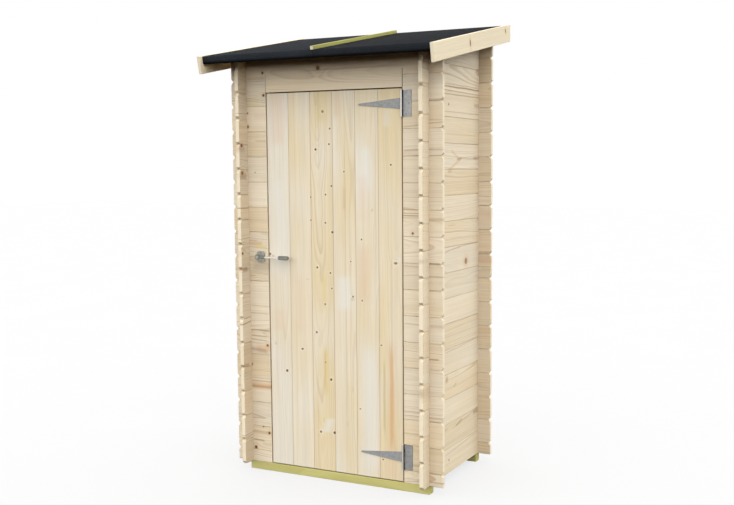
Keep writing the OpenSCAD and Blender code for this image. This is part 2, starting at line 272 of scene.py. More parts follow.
class Skin:
    """A material that is being made, with its graph and its shader's inputs."""

    def __init__(self, name: str) -> None:
        """Makes the material.

        Args:
            name: The material's name.
        """
        self.material = bpy.data.materials.new(name)
        self.material.use_nodes = True
        self.g = Graph(self.material.node_tree)
        self.shader = self.material.node_tree.nodes["Principled BSDF"].inputs

    def given(self) -> tuple[Socket, Socket]:
        """Returns the place on the object and the way that its surface faces."""
        outputs = self.g.add("TexCoord")
        return outputs["Object"], outputs["Normal"]

    def finish(self, colour: Socket, roughness: Socket, height: Socket,
               strength: float) -> bpy.types.Material:
        """Feeds the shader.

        Args:
            colour: The colour.
            roughness: The roughness.
            height: The relief, in metres.
            strength: How strongly the relief shows.

        Returns:
            The material.
        """
        self.g.feed(self.shader["Base Color"], colour)
        self.g.feed(self.shader["Roughness"], roughness)
        self.g.feed(self.shader["Normal"], self.g.bumped(height, strength))
        return self.material


# ---------------------------------------------------------------------------
# Timber
# ---------------------------------------------------------------------------


def lay_knot(g: Graph, given: dict[str, Socket]) -> dict[str, Socket]:
    """Lays out one knot that is added to those before it.

    Args:
        g: The graph of the group.
        given: Place along and across the board, the knot's middle and size, how dark it is, and
            what the knots before it gave.

    Returns:
        How far the rings bulge, and how much is knot, dead dark knot, and the warm wood round it.
    """
    gap = g.distance(given["Place"], given["Middle"])
    far = g.math("DIVIDE", gap, given["Size"])
    rise = g.math("DIVIDE", given["Size"], g.scaled(g.times(far, far), 0.16, 1.0))
    core = g.fall(far, 0.70, 1.15)
    black = g.times(g.fall(far, 0.35, 1.0), given["Dark"])
    rim = g.times(g.hump(far, 0.65, 0.95, 0.95, 1.25), g.scaled(given["Dark"], 0.40, 0.05))
    halo = g.fall(far, 1.0, 3.2)
    return {
        "Rise": g.plus(given["Rise"], rise),
        "Core": g.math("MAXIMUM", given["Core"], core),
        "Black": g.math("MAXIMUM", given["Black"], g.math("MAXIMUM", black, rim)),
        "Halo": g.math("MAXIMUM", given["Halo"], halo),
    }


MARKS = ("Rise", "Core", "Black", "Halo")
KNOT = Effect("knot", lay_knot, ("Place", "Middle"), ("Size", "Dark", *MARKS), (), MARKS)


@dataclass(frozen=True)
class Board:
    """The board under a point of a timber's surface, as values in its graph.

    Own is the point's place in the tree, and luck holds nine chances that the board has.
    """

    along: Socket
    through: Socket
    height: Socket
    number: Socket
    shift: Socket
    own: Socket
    luck: tuple[Socket, ...]

    @classmethod
    def under(cls, g: Graph, given: dict[str, Socket]) -> "Board":
        """Finds the board.

        Args:
            g: The graph.
            given: The effect's inputs.

        Returns:
            The board.
        """
        along, through, across = g.parts(given["Place"])
        course = g.math("DIVIDE", g.less(across, given["Foot"]), given["Pitch"])
        number = g.math("FLOOR", course)
        height = g.times(g.less(g.less(course, number), 0.5), given["Pitch"])
        luck = tuple(one for draw in (1.7, 5.3, 9.1)
                     for one in g.luck(number, given["Seed"], draw))
        shift = g.scaled(luck[0], 40.0, given["Seed"])
        own = g.join(g.plus(along, shift), g.plus(through, shift), g.plus(height, shift))
        return cls(along, through, height, number, shift, own, luck)

    def stretched(self, g: Graph, *counts: float) -> Socket:
        """Returns the place with this many units in a metre, along, through and across."""
        return g.vector("MULTIPLY", self.own, counts)

    def knotted(self, g: Graph, given: dict[str, Socket]) -> dict[str, Socket]:
        """Returns the marks of the knots that stand out and of those that come by chance.

        Args:
            g: The graph.
            given: The effect's inputs, with the marks of the knots that stand out.

        Returns:
            The marks of all the knots.
        """
        cell = (5.5, 3.0, 9.0)
        cells = g.add("TexVoronoi", {"Vector": self.stretched(g, *cell), "Scale": 1.0},
                      voronoi_dimensions="3D", feature="F1")
        gap = g.vector("SUBTRACT", self.stretched(g, *cell), cells["Position"])
        gap = g.vector("MULTIPLY", gap, (1 / cell[0], 0.25 / cell[1], 1 / cell[2]))
        chance, large, dark = g.split(cells["Color"])
        there = g.step(chance, g.less(1.0, given["Knots"]), g.less(1.02, given["Knots"]))
        size = g.scaled(g.math("POWER", large, 3.0), 0.007, 0.0020)
        knot = g.group(KNOT, Place=gap, Middle=(0, 0, 0), Dark=dark,
                       Size=g.plus(g.times(size, there), 0.00002))
        marks = {"Rise": g.plus(given["Rise"], g.times(knot["Rise"], there))}
        for title in MARKS[1:]:
            marks[title] = g.math("MAXIMUM", given[title], g.times(knot[title], there))
        return marks

    def late_wood(self, g: Graph, given: dict[str, Socket], rise: Socket) -> Socket:
        """Returns how dark the growth ring is.

        Args:
            g: The graph.
            given: The effect's inputs.
            rise: How far the knots lift the rings.

        Returns:
            From 0 in early wood to 1 in the darkest late wood.
        """
        _, side, deep, lean, up, rake = self.luck[:6]
        waves = g.split(g.noise(self.stretched(g, 1.6, 4.0, 7.0), detail=1.5)["Color"])
        side = g.scaled(g.math("GREATER_THAN", side, 0.5), 2.0, -1.0)
        deep = g.times(side, g.scaled(g.times(deep, deep), 0.085, 0.036))
        out = g.less(g.less(self.through, deep), g.times(self.along, g.about(lean, 0.060)))
        out = g.plus(out, g.about(waves[0], 0.030))
        over = g.less(g.less(self.height, g.about(up, 0.18)),
                      g.times(self.along, g.about(rake, 0.060)))
        over = g.plus(over, g.about(waves[1], 0.030))
        radius = g.math("SQRT", g.plus(g.times(out, out), g.times(over, over)))
        radius = g.plus(radius, g.times(rise, 1.1))
        gait = g.add("TexNoise", {"W": g.plus(radius, self.shift), "Scale": 38.0, "Detail": 0.0},
                     noise_dimensions="1D")[0]
        rings = g.plus(g.math("DIVIDE", radius, given["Ring"]), g.times(gait, 3.0))
        year = g.math("FLOOR", rings)
        summer = g.luck(year, given["Seed"], self.number)[0]
        late = g.hump(g.less(rings, year), 0.30, 0.90, 0.93, 1.0)
        return g.times(late, g.scaled(g.times(summer, summer), 0.85, 0.15))


def lay_timber(g: Graph, given: dict[str, Socket]) -> dict[str, Socket]:
    """Lays out softwood cut from a round stem, board by board.

    Place is in metres: X along the grain, Y through the thickness, Z across the boards. Each board
    has its own pith line at a chance distance, slightly out of true, so that the growth rings round
    it come out as straight lines, arches or end-grain arcs wherever they meet the surface.

    Args:
        g: The graph of the group.
        given: The effect's inputs.

    Returns:
        Colour, roughness, and height in metres.
    """
    board = Board.under(g, given)
    marks = board.knotted(g, given)
    late = board.late_wood(g, given, marks["Rise"])
    warm, strong, bright = board.luck[6:]

    # Fibres, and wide soft streaks
    fibre = g.noise(board.stretched(g, 7.0, 330.0, 330.0), detail=2.0, roughness=0.6)[0]
    streak = g.noise(board.stretched(g, 1.4, 30.0, 55.0), detail=3.0, roughness=0.55)[0]
    cloud = g.noise(board.stretched(g, 2.4, 6.0, 7.0))[0]

    # The wood
    warmth = g.plus(g.scaled(warm, given["Luck"], given["Warmth"]),
                    g.times(g.less(cloud, 0.5), given["Cloud"]))
    colour = g.blend(g.clamped(warmth), given["Pale"], given["Warm"])
    band = g.times(late, g.times(given["Contrast"], g.scaled(strong, 1.1, 0.45)))
    colour = g.blend(g.math("MINIMUM", band, 1.0), colour, given["Band"])
    tone = g.plus(g.scaled(g.less(streak, 0.5), 0.22, 1.0), g.about(fibre, 0.16))
    tone = g.plus(tone, g.times(g.less(bright, 0.5), given["Spread"]))
    colour = g.blend(1.0, colour, g.join(tone, tone, tone), "MULTIPLY")

    # End grain is where the surface faces along the board
    facing = g.parts(given["Facing"])
    ends = g.step(g.math("ABSOLUTE", facing[0]), 0.55, 0.85)
    colour = g.blend(g.times(ends, 0.75), colour, given["End"])

    # Knots, the joints between the boards, and painted shade on the slanting cuts above a log's
    # ends
    colour = g.blend(g.times(marks["Halo"], 0.40), colour, given["Tint"])
    colour = g.blend(g.times(marks["Core"], 0.85), colour, given["Knot"])
    colour = g.blend(g.times(marks["Black"], 0.92), colour, given["Bark"])
    gap = g.less(g.times(given["Pitch"], 0.5), g.math("ABSOLUTE", board.height))
    joint = g.times(g.fall(gap, 0.0006, 0.0030), given["Joint"])
    colour = g.blend(joint, colour, given["Knot"])
    # Painted shade: cut faces that slant upwards are darkened towards the shade colour
    cut = g.times(g.hump(facing[2], 0.20, 0.45, 0.85, 0.95), given["Cut"])
    colour = g.blend(cut, colour, SHADE, "MULTIPLY")

    gloss = g.plus(g.scaled(late, -0.06, 0.62), g.times(marks["Core"], -0.15))
    relief = g.plus(g.about(fibre, 0.00016), g.times(late, 0.00006))
    return {
        "Color": colour,
        "Roughness": g.plus(gloss, g.times(ends, 0.12)),
        "Height": g.plus(relief, g.times(marks["Black"], -0.00020)),
    }


# The inputs that a timber's own fields of the same names feed
LOOKS = ("Ring", "Contrast", "Knots", "Spread", "Cloud", "Joint", "Cut")
TINTS = ("Pale", "Warm", "Band", "End", "Tint", "Knot", "Bark")
TIMBER = Effect("timber", lay_timber, ("Place", "Facing"),
                ("Foot", "Pitch", "Seed", "Luck", "Warmth", *LOOKS, *MARKS), TINTS,
                ("Color", "Roughness", "Height"))


def lay_streak(g: Graph, given: dict[str, Socket]) -> dict[str, Socket]:
    """Lays out one streak or patch that tints the wood along the grain.

    Args:
        g: The graph of the group.
        given: Place along and across the board, the streak's middle, half length, half width and
            slope, how strong it is, its tint, and the colour of the wood.

    Returns:
        The tinted colour.
    """
    along, _, across = g.parts(g.vector("SUBTRACT", given["Place"], given["Middle"]))
    off = g.math("ABSOLUTE", g.less(across, g.times(along, given["Slope"])))
    inside = g.fall(off, 0.0, given["Width"])
    near = g.fall(g.math("ABSOLUTE", along), g.times(given["Length"], 0.6), given["Length"])
    own = g.times(g.times(inside, near), given["Strength"])
    return {"Color": g.blend(own, given["Color"], given["Tint"])}


STREAK = Effect("streak", lay_streak, ("Place", "Middle"),
                ("Length", "Width", "Slope", "Strength"), ("Tint", "Color"), ("Color",))


class Grain(Enum):
    """Which axis of the object each of a board's own axes follows: along, through and across."""

    LEVEL_WALL = (0, 1, 2)
    SIDE_WALL = (1, 0, 2)
    UPRIGHT = (2, 1, 0)
    DEEP = (1, 2, 0)


def srgb(red: int, green: int, blue: int) -> Colour:
    """Returns the linear colour of a screen colour given from 0 to 255."""
    def linear(value: int) -> float:
        """Returns the linear share of one part."""
        share = value / 255
        return share / 12.92 if share <= 0.04045 else ((share + 0.055) / 1.055) ** 2.4
    return linear(red), linear(green), linear(blue)


BROWN = srgb(158, 117, 76)
ORANGE = srgb(222, 172, 116)
YELLOW = srgb(226, 206, 140)
OLIVE = srgb(200, 186, 130)
TAN = srgb(214, 180, 138)
PINK = srgb(232, 200, 170)
GREY = srgb(186, 176, 158)
WHITE = srgb(240, 237, 228)
# The cream tints a painted highlight, and the shade is painted shade on slanting cuts
HIGHLIGHT_CREAM = srgb(252, 236, 206)
SHADE = (0.36, 0.30, 0.22)


@dataclass(frozen=True)
class Knot:
    """A knot that stands out.

    It has a place along and across the grain and a radius, in mm, how dark its middle is, and how
    many times longer it is across the grain than along it.
    """

    along: float
    across: float
    radius: float = 4.0
    dark: float = 1.0
    tall: float = 1.0


@dataclass(frozen=True)
class Streak:
    """A streak or patch that stands out: mostly a mark in the wood, but a few are painted shade, a
    painted shadow or a painted highlight.

    It has a middle along and across the grain, a half length and a half width, in mm, how strong it
    is, a tint, and a rise across for each length along.
    """

    along: float
    across: float
    length: float = 40.0
    width: float = 4.0
    strong: float = 0.5
    tint: Colour = BROWN
    slope: float = 0.0


@dataclass(frozen=True)
class Timber:
    """How one kind of timber looks.

    Pale and warm are the wood's two tones, band its late wood, end its end grain, tint the wood
    round a knot, and bark a dead knot. Bounce is the share of its colour that it throws on to
    others. Ring is the width of a growth ring in metres, and contrast how dark the late wood is.
    Knots is how many come by chance, spread and cloud how much boards and places on them differ,
    joint how dark joints are, and cut how much painted shade darkens the slanting cuts that face
    up.
    Tones, where given, are how warm the boards are, in order.
    """

    pale: Colour = srgb(242, 229, 204)
    warm: Colour = srgb(235, 215, 178)
    band: Colour = srgb(196, 162, 124)
    end: Colour = srgb(250, 236, 208)
    tint: Colour = srgb(228, 196, 160)
    knot: Colour = BROWN
    bark: Colour = srgb(84, 62, 38)
    bounce: Colour = (0.60, 0.51, 0.40)
    ring: float = 0.0042
    contrast: float = 0.48
    knots: float = 0.10
    spread: float = 0.10
    cloud: float = 1.2
    joint: float = 0.10
    cut: float = 0.0
    tones: tuple[float, ...] = ()

    def material(self, name: str, grain: Grain, foot: float, pitch: float, seed: float,
                 face: float = 0.0, start: float = 0.0, tilt: float = 0.0,
                 knots: Sequence[Knot] = (), streaks: Sequence[Streak] = ()) -> bpy.types.Material:
        """Builds the material of a set of boards.

        Args:
            name: The material's name.
            grain: How the boards lie.
            foot: Where the first board starts across the grain, in metres.
            pitch: The width of one board, in metres.
            seed: A number that makes this set differ from the others.
            face: The place of the boards' outer face through their thickness, in metres.
            start: The place along the grain that knots and streaks are measured from, in metres.
            tilt: The slope of the boards about the X axis, in radians.
            knots: The knots that stand out.
            streaks: The streaks that stand out.

        Returns:
            The material.
        """
        skin = Skin(name)
        g = skin.g
        place, facing = skin.given()
        if tilt:
            place, facing = g.turned(place, -tilt), g.turned(facing, -tilt)
        place, facing = self.swapped(g, place, grain), self.swapped(g, facing, grain)
        place = g.vector("SUBTRACT", place, (start, face, 0.0))
        marks: dict[str, object] = dict.fromkeys(MARKS, 0.0)
        for one in knots:
            node = g.group(KNOT, Place=g.vector("MULTIPLY", place, (1.0, 0.3, 1 / one.tall)),
                           Middle=(one.along * MM, 0.0, one.across * MM / one.tall),
                           Size=one.radius * MM, Dark=one.dark, **marks)
            marks = {title: node[title] for title in MARKS}
        luck, warmth = 0.9, -0.25
        if self.tones:
            luck, warmth = 0.0, self.chosen(g, place, foot, pitch)
        own = {title: getattr(self, title.lower()) for title in (*LOOKS, *TINTS)}
        look = g.group(TIMBER, Place=place, Facing=facing, Foot=foot, Pitch=pitch, Seed=seed,
                       Luck=luck, Warmth=warmth, **own, **marks)
        colour = look["Color"]
        if streaks:
            wander = g.noise(g.vector("MULTIPLY", place, (9.0, 9.0, 30.0)), detail=2.0)[0]
            wavy = g.vector("ADD", place, g.join(0.0, 0.0, g.about(wander, 0.008)))
        for one in streaks:
            colour = g.group(STREAK, Place=wavy, Middle=(one.along * MM, 0.0, one.across * MM),
                             Length=one.length * MM, Width=one.width * MM, Slope=one.slope,
                             Strength=one.strong, Tint=one.tint, Color=colour)["Color"]
        bounced = g.add("LightPath")["Is Diffuse Ray"]
        colour = g.blend(bounced, colour, self.bounce, "MULTIPLY")
        skin.shader["Specular IOR Level"].default_value = 0.04
        return skin.finish(colour, look["Roughness"], look["Height"], 0.8)

    def chosen(self, g: Graph, place: Socket, foot: float, pitch: float) -> Socket:
        """Looks up how warm each board is in the list of tones.

        Args:
            g: The graph.
            place: The place on the boards.
            foot: Where the first board starts across the grain, in metres.
            pitch: The width of one board, in metres.

        Returns:
            The board's tone.
        """
        course = g.math("DIVIDE", g.less(g.parts(place)[2], foot), pitch * len(self.tones))
        ramp = g.tree.nodes.new("ShaderNodeValToRGB")
        ramp.color_ramp.interpolation = "CONSTANT"
        marks = ramp.color_ramp.elements
        for count, tone in enumerate(self.tones):
            mark = marks[count] if count < 2 else marks.new(count / len(self.tones))
            mark.position = count / len(self.tones)
            mark.color = (tone, tone, tone, 1.0)
        g.feed(ramp.inputs[0], course)
        return ramp.outputs[0]

    @staticmethod
    def swapped(g: Graph, vector: Socket, grain: Grain) -> Socket:
        """Returns a vector with its parts in the order that the grain runs."""
        if grain is Grain.LEVEL_WALL:
            return vector
        parts = g.parts(vector)
        return g.join(*(parts[axis] for axis in grain.value))


SPRUCE = Timber(cut=0.25)
CLEAR_SPRUCE = Timber(knots=0.0, cut=0.25)
ROOF_SPRUCE = Timber(bounce=(0.20, 0.18, 0.15))
# Paler and warmer than the rest: painted light that brightens and warms the top log and the header
# in the shade under the eaves
HEAD_SPRUCE_PAINTED_LIGHT = Timber(pale=srgb(251, 233, 203), warm=srgb(247, 224, 184), contrast=0.35, knots=0.0)
DOOR_SPRUCE = Timber(pale=srgb(241, 232, 214), warm=srgb(237, 219, 181),
                     tint=srgb(248, 238, 217), contrast=0.26,
                     knots=0.0, spread=0.03, ring=0.0036, cloud=2.2, joint=0.28,
                     tones=(0.10, 0.58, 0.78, 0.34, 0.36, 0.80))
BARGE_SPRUCE = Timber(pale=srgb(241, 227, 197), warm=srgb(239, 220, 180), contrast=0.5, knots=0.0)
TREATED = Timber(pale=srgb(207, 200, 132), warm=srgb(194, 186, 110), band=srgb(150, 138, 66),
                 end=srgb(190, 184, 112), knot=srgb(120, 98, 50), bark=srgb(70, 58, 30),
                 contrast=0.6, spread=0.06, knots=0.0)
BATTEN = Timber(pale=srgb(176, 174, 104), warm=srgb(160, 158, 84), band=srgb(128, 122, 60),
                end=srgb(244, 240, 214), knot=srgb(120, 98, 50), bark=srgb(70, 58, 30),
                contrast=0.5, knots=0.0)


# ---------------------------------------------------------------------------
# Felt and metal
# ---------------------------------------------------------------------------


@dataclass(frozen=True)
class Felt:
    """Mineral-faced roofing felt: slate granules pressed into bitumen."""

    ground: Colour = srgb(30, 33, 36)
    light: Colour = srgb(52, 55, 60)
    granule: float = 0.0012

    def material(self, name: str, slope: float, top: float) -> bpy.types.Material:
        """Builds the felt's material, with painted light on its turned-down fold: brighter on its
        upper part and bend than on the top, then painted shade that darkens it almost to black
        towards its lower edge.

        Args:
            name: The material's name.
            slope: The slope of the roof, in radians.
            top: The height of the felt's upper face, square to the slope, in metres.

        Returns:
            The material.
        """
        skin = Skin(name)
        g = skin.g
        place, _ = skin.given()
        grains = g.add("TexVoronoi", {"Vector": place, "Scale": 1 / self.granule}, feature="F1")
        light, rough, _ = g.split(grains["Color"])
        cloud = g.noise(place, scale=9.0, detail=3.0, roughness=0.6)[0]
        share = g.plus(g.times(g.math("POWER", light, 3.0), 0.7), g.scaled(cloud, 0.5, -0.22))
        colour = g.blend(g.math("MAXIMUM", share, 0.0), self.ground, self.light)
        # Painted light on the turned-down fold: its upper part and bend come out brighter than the
        # top, and painted shade darkens its lower part almost to black
        level = g.less(g.parts(g.turned(place, -slope))[2], top)
        fold_painted_light = g.step(level, -0.033, -0.018, 0.12, 1.7)
        edge = g.step(level, -0.008, -0.001, 1.0, 0.6)
        colour = g.times_all(colour, g.times(fold_painted_light, edge))
        height = g.plus(g.times(grains["Distance"], -0.0005), g.times(cloud, 0.002))
        skin.shader["Specular IOR Level"].default_value = 0.03
        return skin.finish(colour, g.scaled(rough, 0.12, 0.80), height, 0.7)


def lay_metal(g: Graph, given: dict[str, Socket]) -> dict[str, Socket]:
    """Lays out a metal skin with a fine grain and a coarser, duller mottle.

    Args:
        g: The graph of the group.
        given: Place, the two colours, the least roughness, how many mottles and grains there are
            in a metre, and the height of the grain in metres.

    Returns:
        Colour, roughness, and height in metres.
    """
    patch = g.noise(g.times_all(given["Place"], given["Mottle"]), detail=3.0, roughness=0.6)[0]
    fine = g.noise(g.times_all(given["Place"], given["Grain"]))[0]
    share = g.step(patch, 0.35, 0.68)
    rough = g.plus(g.times(share, 0.12), given["Rough"])
    return {
        "Color": g.blend(share, given["Bright"], given["Dull"]),
        "Roughness": g.plus(rough, g.about(fine, 0.10)),
        "Height": g.times(fine, given["Relief"]),
    }


METAL = Effect("metal", lay_metal, ("Place",), ("Rough", "Mottle", "Grain", "Relief"),
               ("Bright", "Dull"), ("Color", "Roughness", "Height"))


@dataclass(frozen=True)
class Metal:
    """A metal with a fine grain and a coarser, duller mottle."""

    bright: Colour
    dull: Colour
    roughness: float
    mottle: float = 90.0
    grain: float = 1500.0
    relief: float = 0.00002

    def lay(self, g: Graph, place: Socket) -> Outputs:
        """Places the metal group with this metal's values."""
        return g.group(METAL, Place=place, Bright=self.bright, Dull=self.dull, Mottle=self.mottle,
                       Rough=self.roughness, Grain=self.grain, Relief=self.relief)

    def material(self, name: str, patches: Sequence["Patch"] = ()) -> bpy.types.Material:
        """Builds the metal's material.

        Args:
            name: The material's name.
            patches: Where other metals cover this one, each over those before it.

        Returns:
            The material.
        """
        skin = Skin(name)
        g = skin.g
        skin.shader["Metallic"].default_value = 1.0
        place, _ = skin.given()
        own = self.lay(g, place)
        colour, rough = own["Color"], own["Roughness"]
        for patch in patches:
            over = patch.metal.lay(g, place)
            mask = patch.mask(g, place)
            colour = g.blend(mask, colour, over["Color"])
            rough = g.plus(g.times(rough, g.less(1.0, mask)), g.times(over["Roughness"], mask))
        return skin.finish(colour, rough, own["Height"], 0.6)


@dataclass(frozen=True)
class Patch:
    """Another metal, within reach of a point or line. Reach and edge are in metres."""

    metal: Metal
    middle: Point
    along: Point
    reach: float
    edge: float = 0.0004

    def mask(self, g: Graph, place: Socket) -> Socket:
        """Returns 1 inside the patch and 0 outside. It measures only along the axes given as 1."""
        flat = g.vector("MULTIPLY", place, self.along)
        middle = tuple(value * axis for value, axis in zip(self.middle, self.along))
        return g.fall(g.distance(flat, middle), self.reach - self.edge, self.reach + self.edge)


LEFT_FELT = Felt()
RIGHT_FELT = Felt(ground=srgb(26, 28, 31), light=srgb(45, 48, 52))
ZINC = Metal(bright=srgb(164, 164, 163), dull=srgb(155, 156, 156), roughness=0.50, relief=0.00001)
PALE_ZINC = Metal(bright=srgb(176, 176, 174), dull=srgb(166, 167, 167), roughness=0.50,
                  relief=0.00001)
GREY_ZINC = Metal(bright=srgb(157, 158, 157), dull=srgb(148, 149, 149), roughness=0.50,
                  relief=0.00001)
# Near-white zinc for the hinge pins and for the painted highlight down the upper knuckles, a duller
# zinc for the painted highlight down the lower knuckles, and dark zinc for the painted shade round
# them
PIN_AND_HIGHLIGHT_ZINC = Metal(bright=srgb(246, 243, 236), dull=srgb(238, 234, 227), roughness=0.30)
DIM_HIGHLIGHT_ZINC = Metal(bright=srgb(214, 206, 200), dull=srgb(204, 196, 190), roughness=0.35)
SHADED_ZINC = Metal(bright=srgb(106, 101, 92), dull=srgb(96, 91, 82), roughness=0.70)
BRIGHT_STEEL = Metal(bright=srgb(244, 236, 228), dull=srgb(230, 222, 214), roughness=0.22)
CAST = Metal(bright=srgb(156, 158, 150), dull=srgb(128, 131, 127), roughness=0.50,
             mottle=240.0, relief=0.00008)
PALE_CAST = Metal(bright=srgb(190, 192, 184), dull=srgb(164, 167, 163), roughness=0.50,
                  mottle=240.0, relief=0.00008)


# ---------------------------------------------------------------------------
# Shaping pieces
# ---------------------------------------------------------------------------


def only(thing: bpy.types.Object) -> None:
    """Selects one object and makes it the active one."""
    bpy.ops.object.select_all(action="DESELECT")
    thing.select_set(True)
    bpy.context.view_layer.objects.active = thing


@contextmanager
def editing() -> Iterator[None]:
    """Works on the active object in edit mode, and goes back to object mode."""
    bpy.ops.object.mode_set(mode="EDIT")
    yield
    bpy.ops.object.mode_set(mode="OBJECT")


def apply_place() -> None:
    """Puts the selected objects' place, turn and size into their meshes."""
    bpy.ops.object.transform_apply(location=True, rotation=True, scale=True)


def dress(node: str, material: bpy.types.Material) -> None:
    """Gives a node of the frame its material."""
    slots = frame["nodes"][node].data.materials
    slots.clear()
    slots.append(material)
    log.info("%s: dressed in %s", node, material.name)


def dress_rows(name: str, material: bpy.types.Material) -> None:
    """Gives both nodes of a set of logs or boards, the odd and the even ones, their material."""
    dress(name + "_odd", material)
    dress(name + "_even", material)


def span(name: str, axis: int) -> tuple[float, float]:
    """Returns where a set of logs or boards, the odd and the even ones, starts and ends."""
    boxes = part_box(name + "_odd"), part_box(name + "_even")
    return min(box[0][axis] for box in boxes), max(box[1][axis] for box in boxes)


def settle(piece: bpy.types.Object, name: str, material: bpy.types.Material, body: str) -> None:
    """Names a finished piece, gives it its material and puts it on its body.

    Args:
        piece: The piece, with its place in its mesh.
        name: Its name.
        material: Its material.
        body: The body that it moves with.
    """
    piece.name = name
    piece.data.materials.clear()
    piece.data.materials.append(material)
    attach(piece, body)
    log.info("%s: %d faces on %s", name, len(piece.data.polygons), body)


def reshaped(node: str, edge: float, angle: float = 40.0,
             first: Callable[[bpy.types.Object], None] | None = None) -> bpy.types.Object:
    """Makes a smooth copy of a node, with its sharp edges slightly rounded.

    Args:
        node: The node that the copy stands for.
        edge: The width of the rounding, in metres.
        angle: The least angle, in degrees, of an edge that is rounded.
        first: What is done to the copy before that.

    Returns:
        The copy, which replaces the node.
    """
    source = frame["nodes"][node]
    piece = source.copy()
    piece.data = source.data.copy()
    piece.parent = None
    bpy.context.scene.collection.objects.link(piece)
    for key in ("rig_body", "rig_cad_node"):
        if key in piece:
            del piece[key]
    only(piece)
    with editing():
        bpy.ops.mesh.select_all(action="SELECT")
        bpy.ops.mesh.remove_doubles(threshold=0.00001)
        bpy.ops.mesh.dissolve_limited(angle_limit=math.radians(0.5))
    if first:
        first(piece)
    bevel = piece.modifiers.new("edge", "BEVEL")
    bevel.width = edge
    bevel.segments = 2
    bevel.limit_method = "ANGLE"
    bevel.angle_limit = math.radians(angle)
    bevel.use_clamp_overlap = True
    bpy.ops.object.modifier_apply(modifier="edge")
    bpy.ops.object.shade_smooth_by_angle(angle=math.radians(35))
    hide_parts(node)
    return piece


# ---------------------------------------------------------------------------
# Sub-assemblies
# ---------------------------------------------------------------------------

# Courses from the foot of the front wall's first whole log to the foot of its top log
COURSES = 15
DOOR_BOARDS = 6
FLOOR_BOARDS = 8
ROOF_BOARDS = 10
ROOF_SLOPE = math.radians(11.669)
X, Z = 0, 2


@dataclass(frozen=True)
class Stock:
    """The sizes in metres that the frame gives, which the boards' patterns follow."""

    log_pitch: float
    bearer_top: float
    wall_front: float
    door_left: float
    door_pitch: float

    @classmethod
    def from_frame(cls) -> "Stock":
        """Measures the frame."""
        foot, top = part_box("front_left_logs_odd")[0].z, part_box("front_top_log")[0].z
        low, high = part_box("front_bearer")
        left, right = span("door_boards", X)
        return cls(log_pitch=(top - foot) / COURSES, bearer_top=high.z, wall_front=low.y,
                   door_left=left, door_pitch=(right - left) / DOOR_BOARDS)


@dataclass
class Walls:
    """The logs, the header over the door and the posts behind the doorway."""

    stock: Stock
    timber: Timber = SPRUCE
    clear: Timber = CLEAR_SPRUCE

    def build(self) -> None:
        """Dresses every log."""
        stock = self.stock
        front = {"grain": Grain.LEVEL_WALL, "foot": stock.bearer_top - stock.log_pitch / 2,
                 "pitch": stock.log_pitch, "face": stock.wall_front}
        dress_rows("front_left_logs", self.clear.material(
            "front_left_logs", seed=3.0, **front, knots=LEFT_STUB_KNOTS, streaks=LEFT_STUB_STREAKS_AND_SHADOW))
        dress_rows("front_right_logs", self.clear.material(
            "front_right_logs", seed=8.0, **front, knots=RIGHT_STUB_KNOTS,
            streaks=RIGHT_STUB_STREAKS))
        front["face"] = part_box("rear_logs_odd")[1].y
        dress_rows("rear_logs", self.timber.material(
            "rear_logs", seed=12.0, **front, streaks=REAR_WALL_STREAKS))
        for side, timber, seed, knots, streaks in (
                ("left", self.timber, 21.0, LEFT_WALL_KNOTS, LEFT_WALL_STREAKS),
                ("right", self.clear, 27.0, RIGHT_WALL_KNOTS, RIGHT_WALL_STREAKS_AND_HIGHLIGHT)):
            name = side + "_wall_logs"
            dress_rows(name, timber.material(
                name, Grain.SIDE_WALL, foot=stock.bearer_top, pitch=stock.log_pitch, seed=seed,
                face=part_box(name + "_odd")[1].x, start=stock.wall_front, knots=knots,
                streaks=streaks))
        self.head()
        for side, seed in (("left", 41.0), ("right", 44.0)):
            name = side + "_door_post"
            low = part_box(name)[0]
            dress(name, self.timber.material(name, Grain.UPRIGHT, foot=low.x, pitch=0.2,
                                             seed=seed, face=low.y))

    def head(self) -> None:
        """Dresses the top log and the header as if cut from one board, in the paler, warmer spruce
        that paints light into the shade under the eaves.
        """
        material = HEAD_SPRUCE_PAINTED_LIGHT.material(
            "door_head", Grain.LEVEL_WALL, foot=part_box("door_header")[0].z - 0.05, pitch=0.4,
            seed=31.0, face=self.stock.wall_front, knots=TOP_LOG_KNOTS, streaks=TOP_LOG_STREAKS_AND_SHADE)
        dress("front_top_log", material)
        dress("door_header", material)


@dataclass
class Base:
    """The bearers and the floor."""

    def build(self) -> None:
        """Dresses the bearers and the floor boards."""
        for name, seed in (("front_bearer", 51.0), ("rear_bearer", 53.0)):
            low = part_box(name)[0]
            dress(name, TREATED.material(name, Grain.LEVEL_WALL, foot=low.z - 0.02, pitch=0.2,
                                         seed=seed, face=low.y))
        left, right = span("floor_boards", X)
        dress_rows("floor_boards", SPRUCE.material(
            "floor_boards", Grain.DEEP, foot=left, pitch=(right - left) / FLOOR_BOARDS,
            seed=57.0, face=span("floor_boards", Z)[1]))


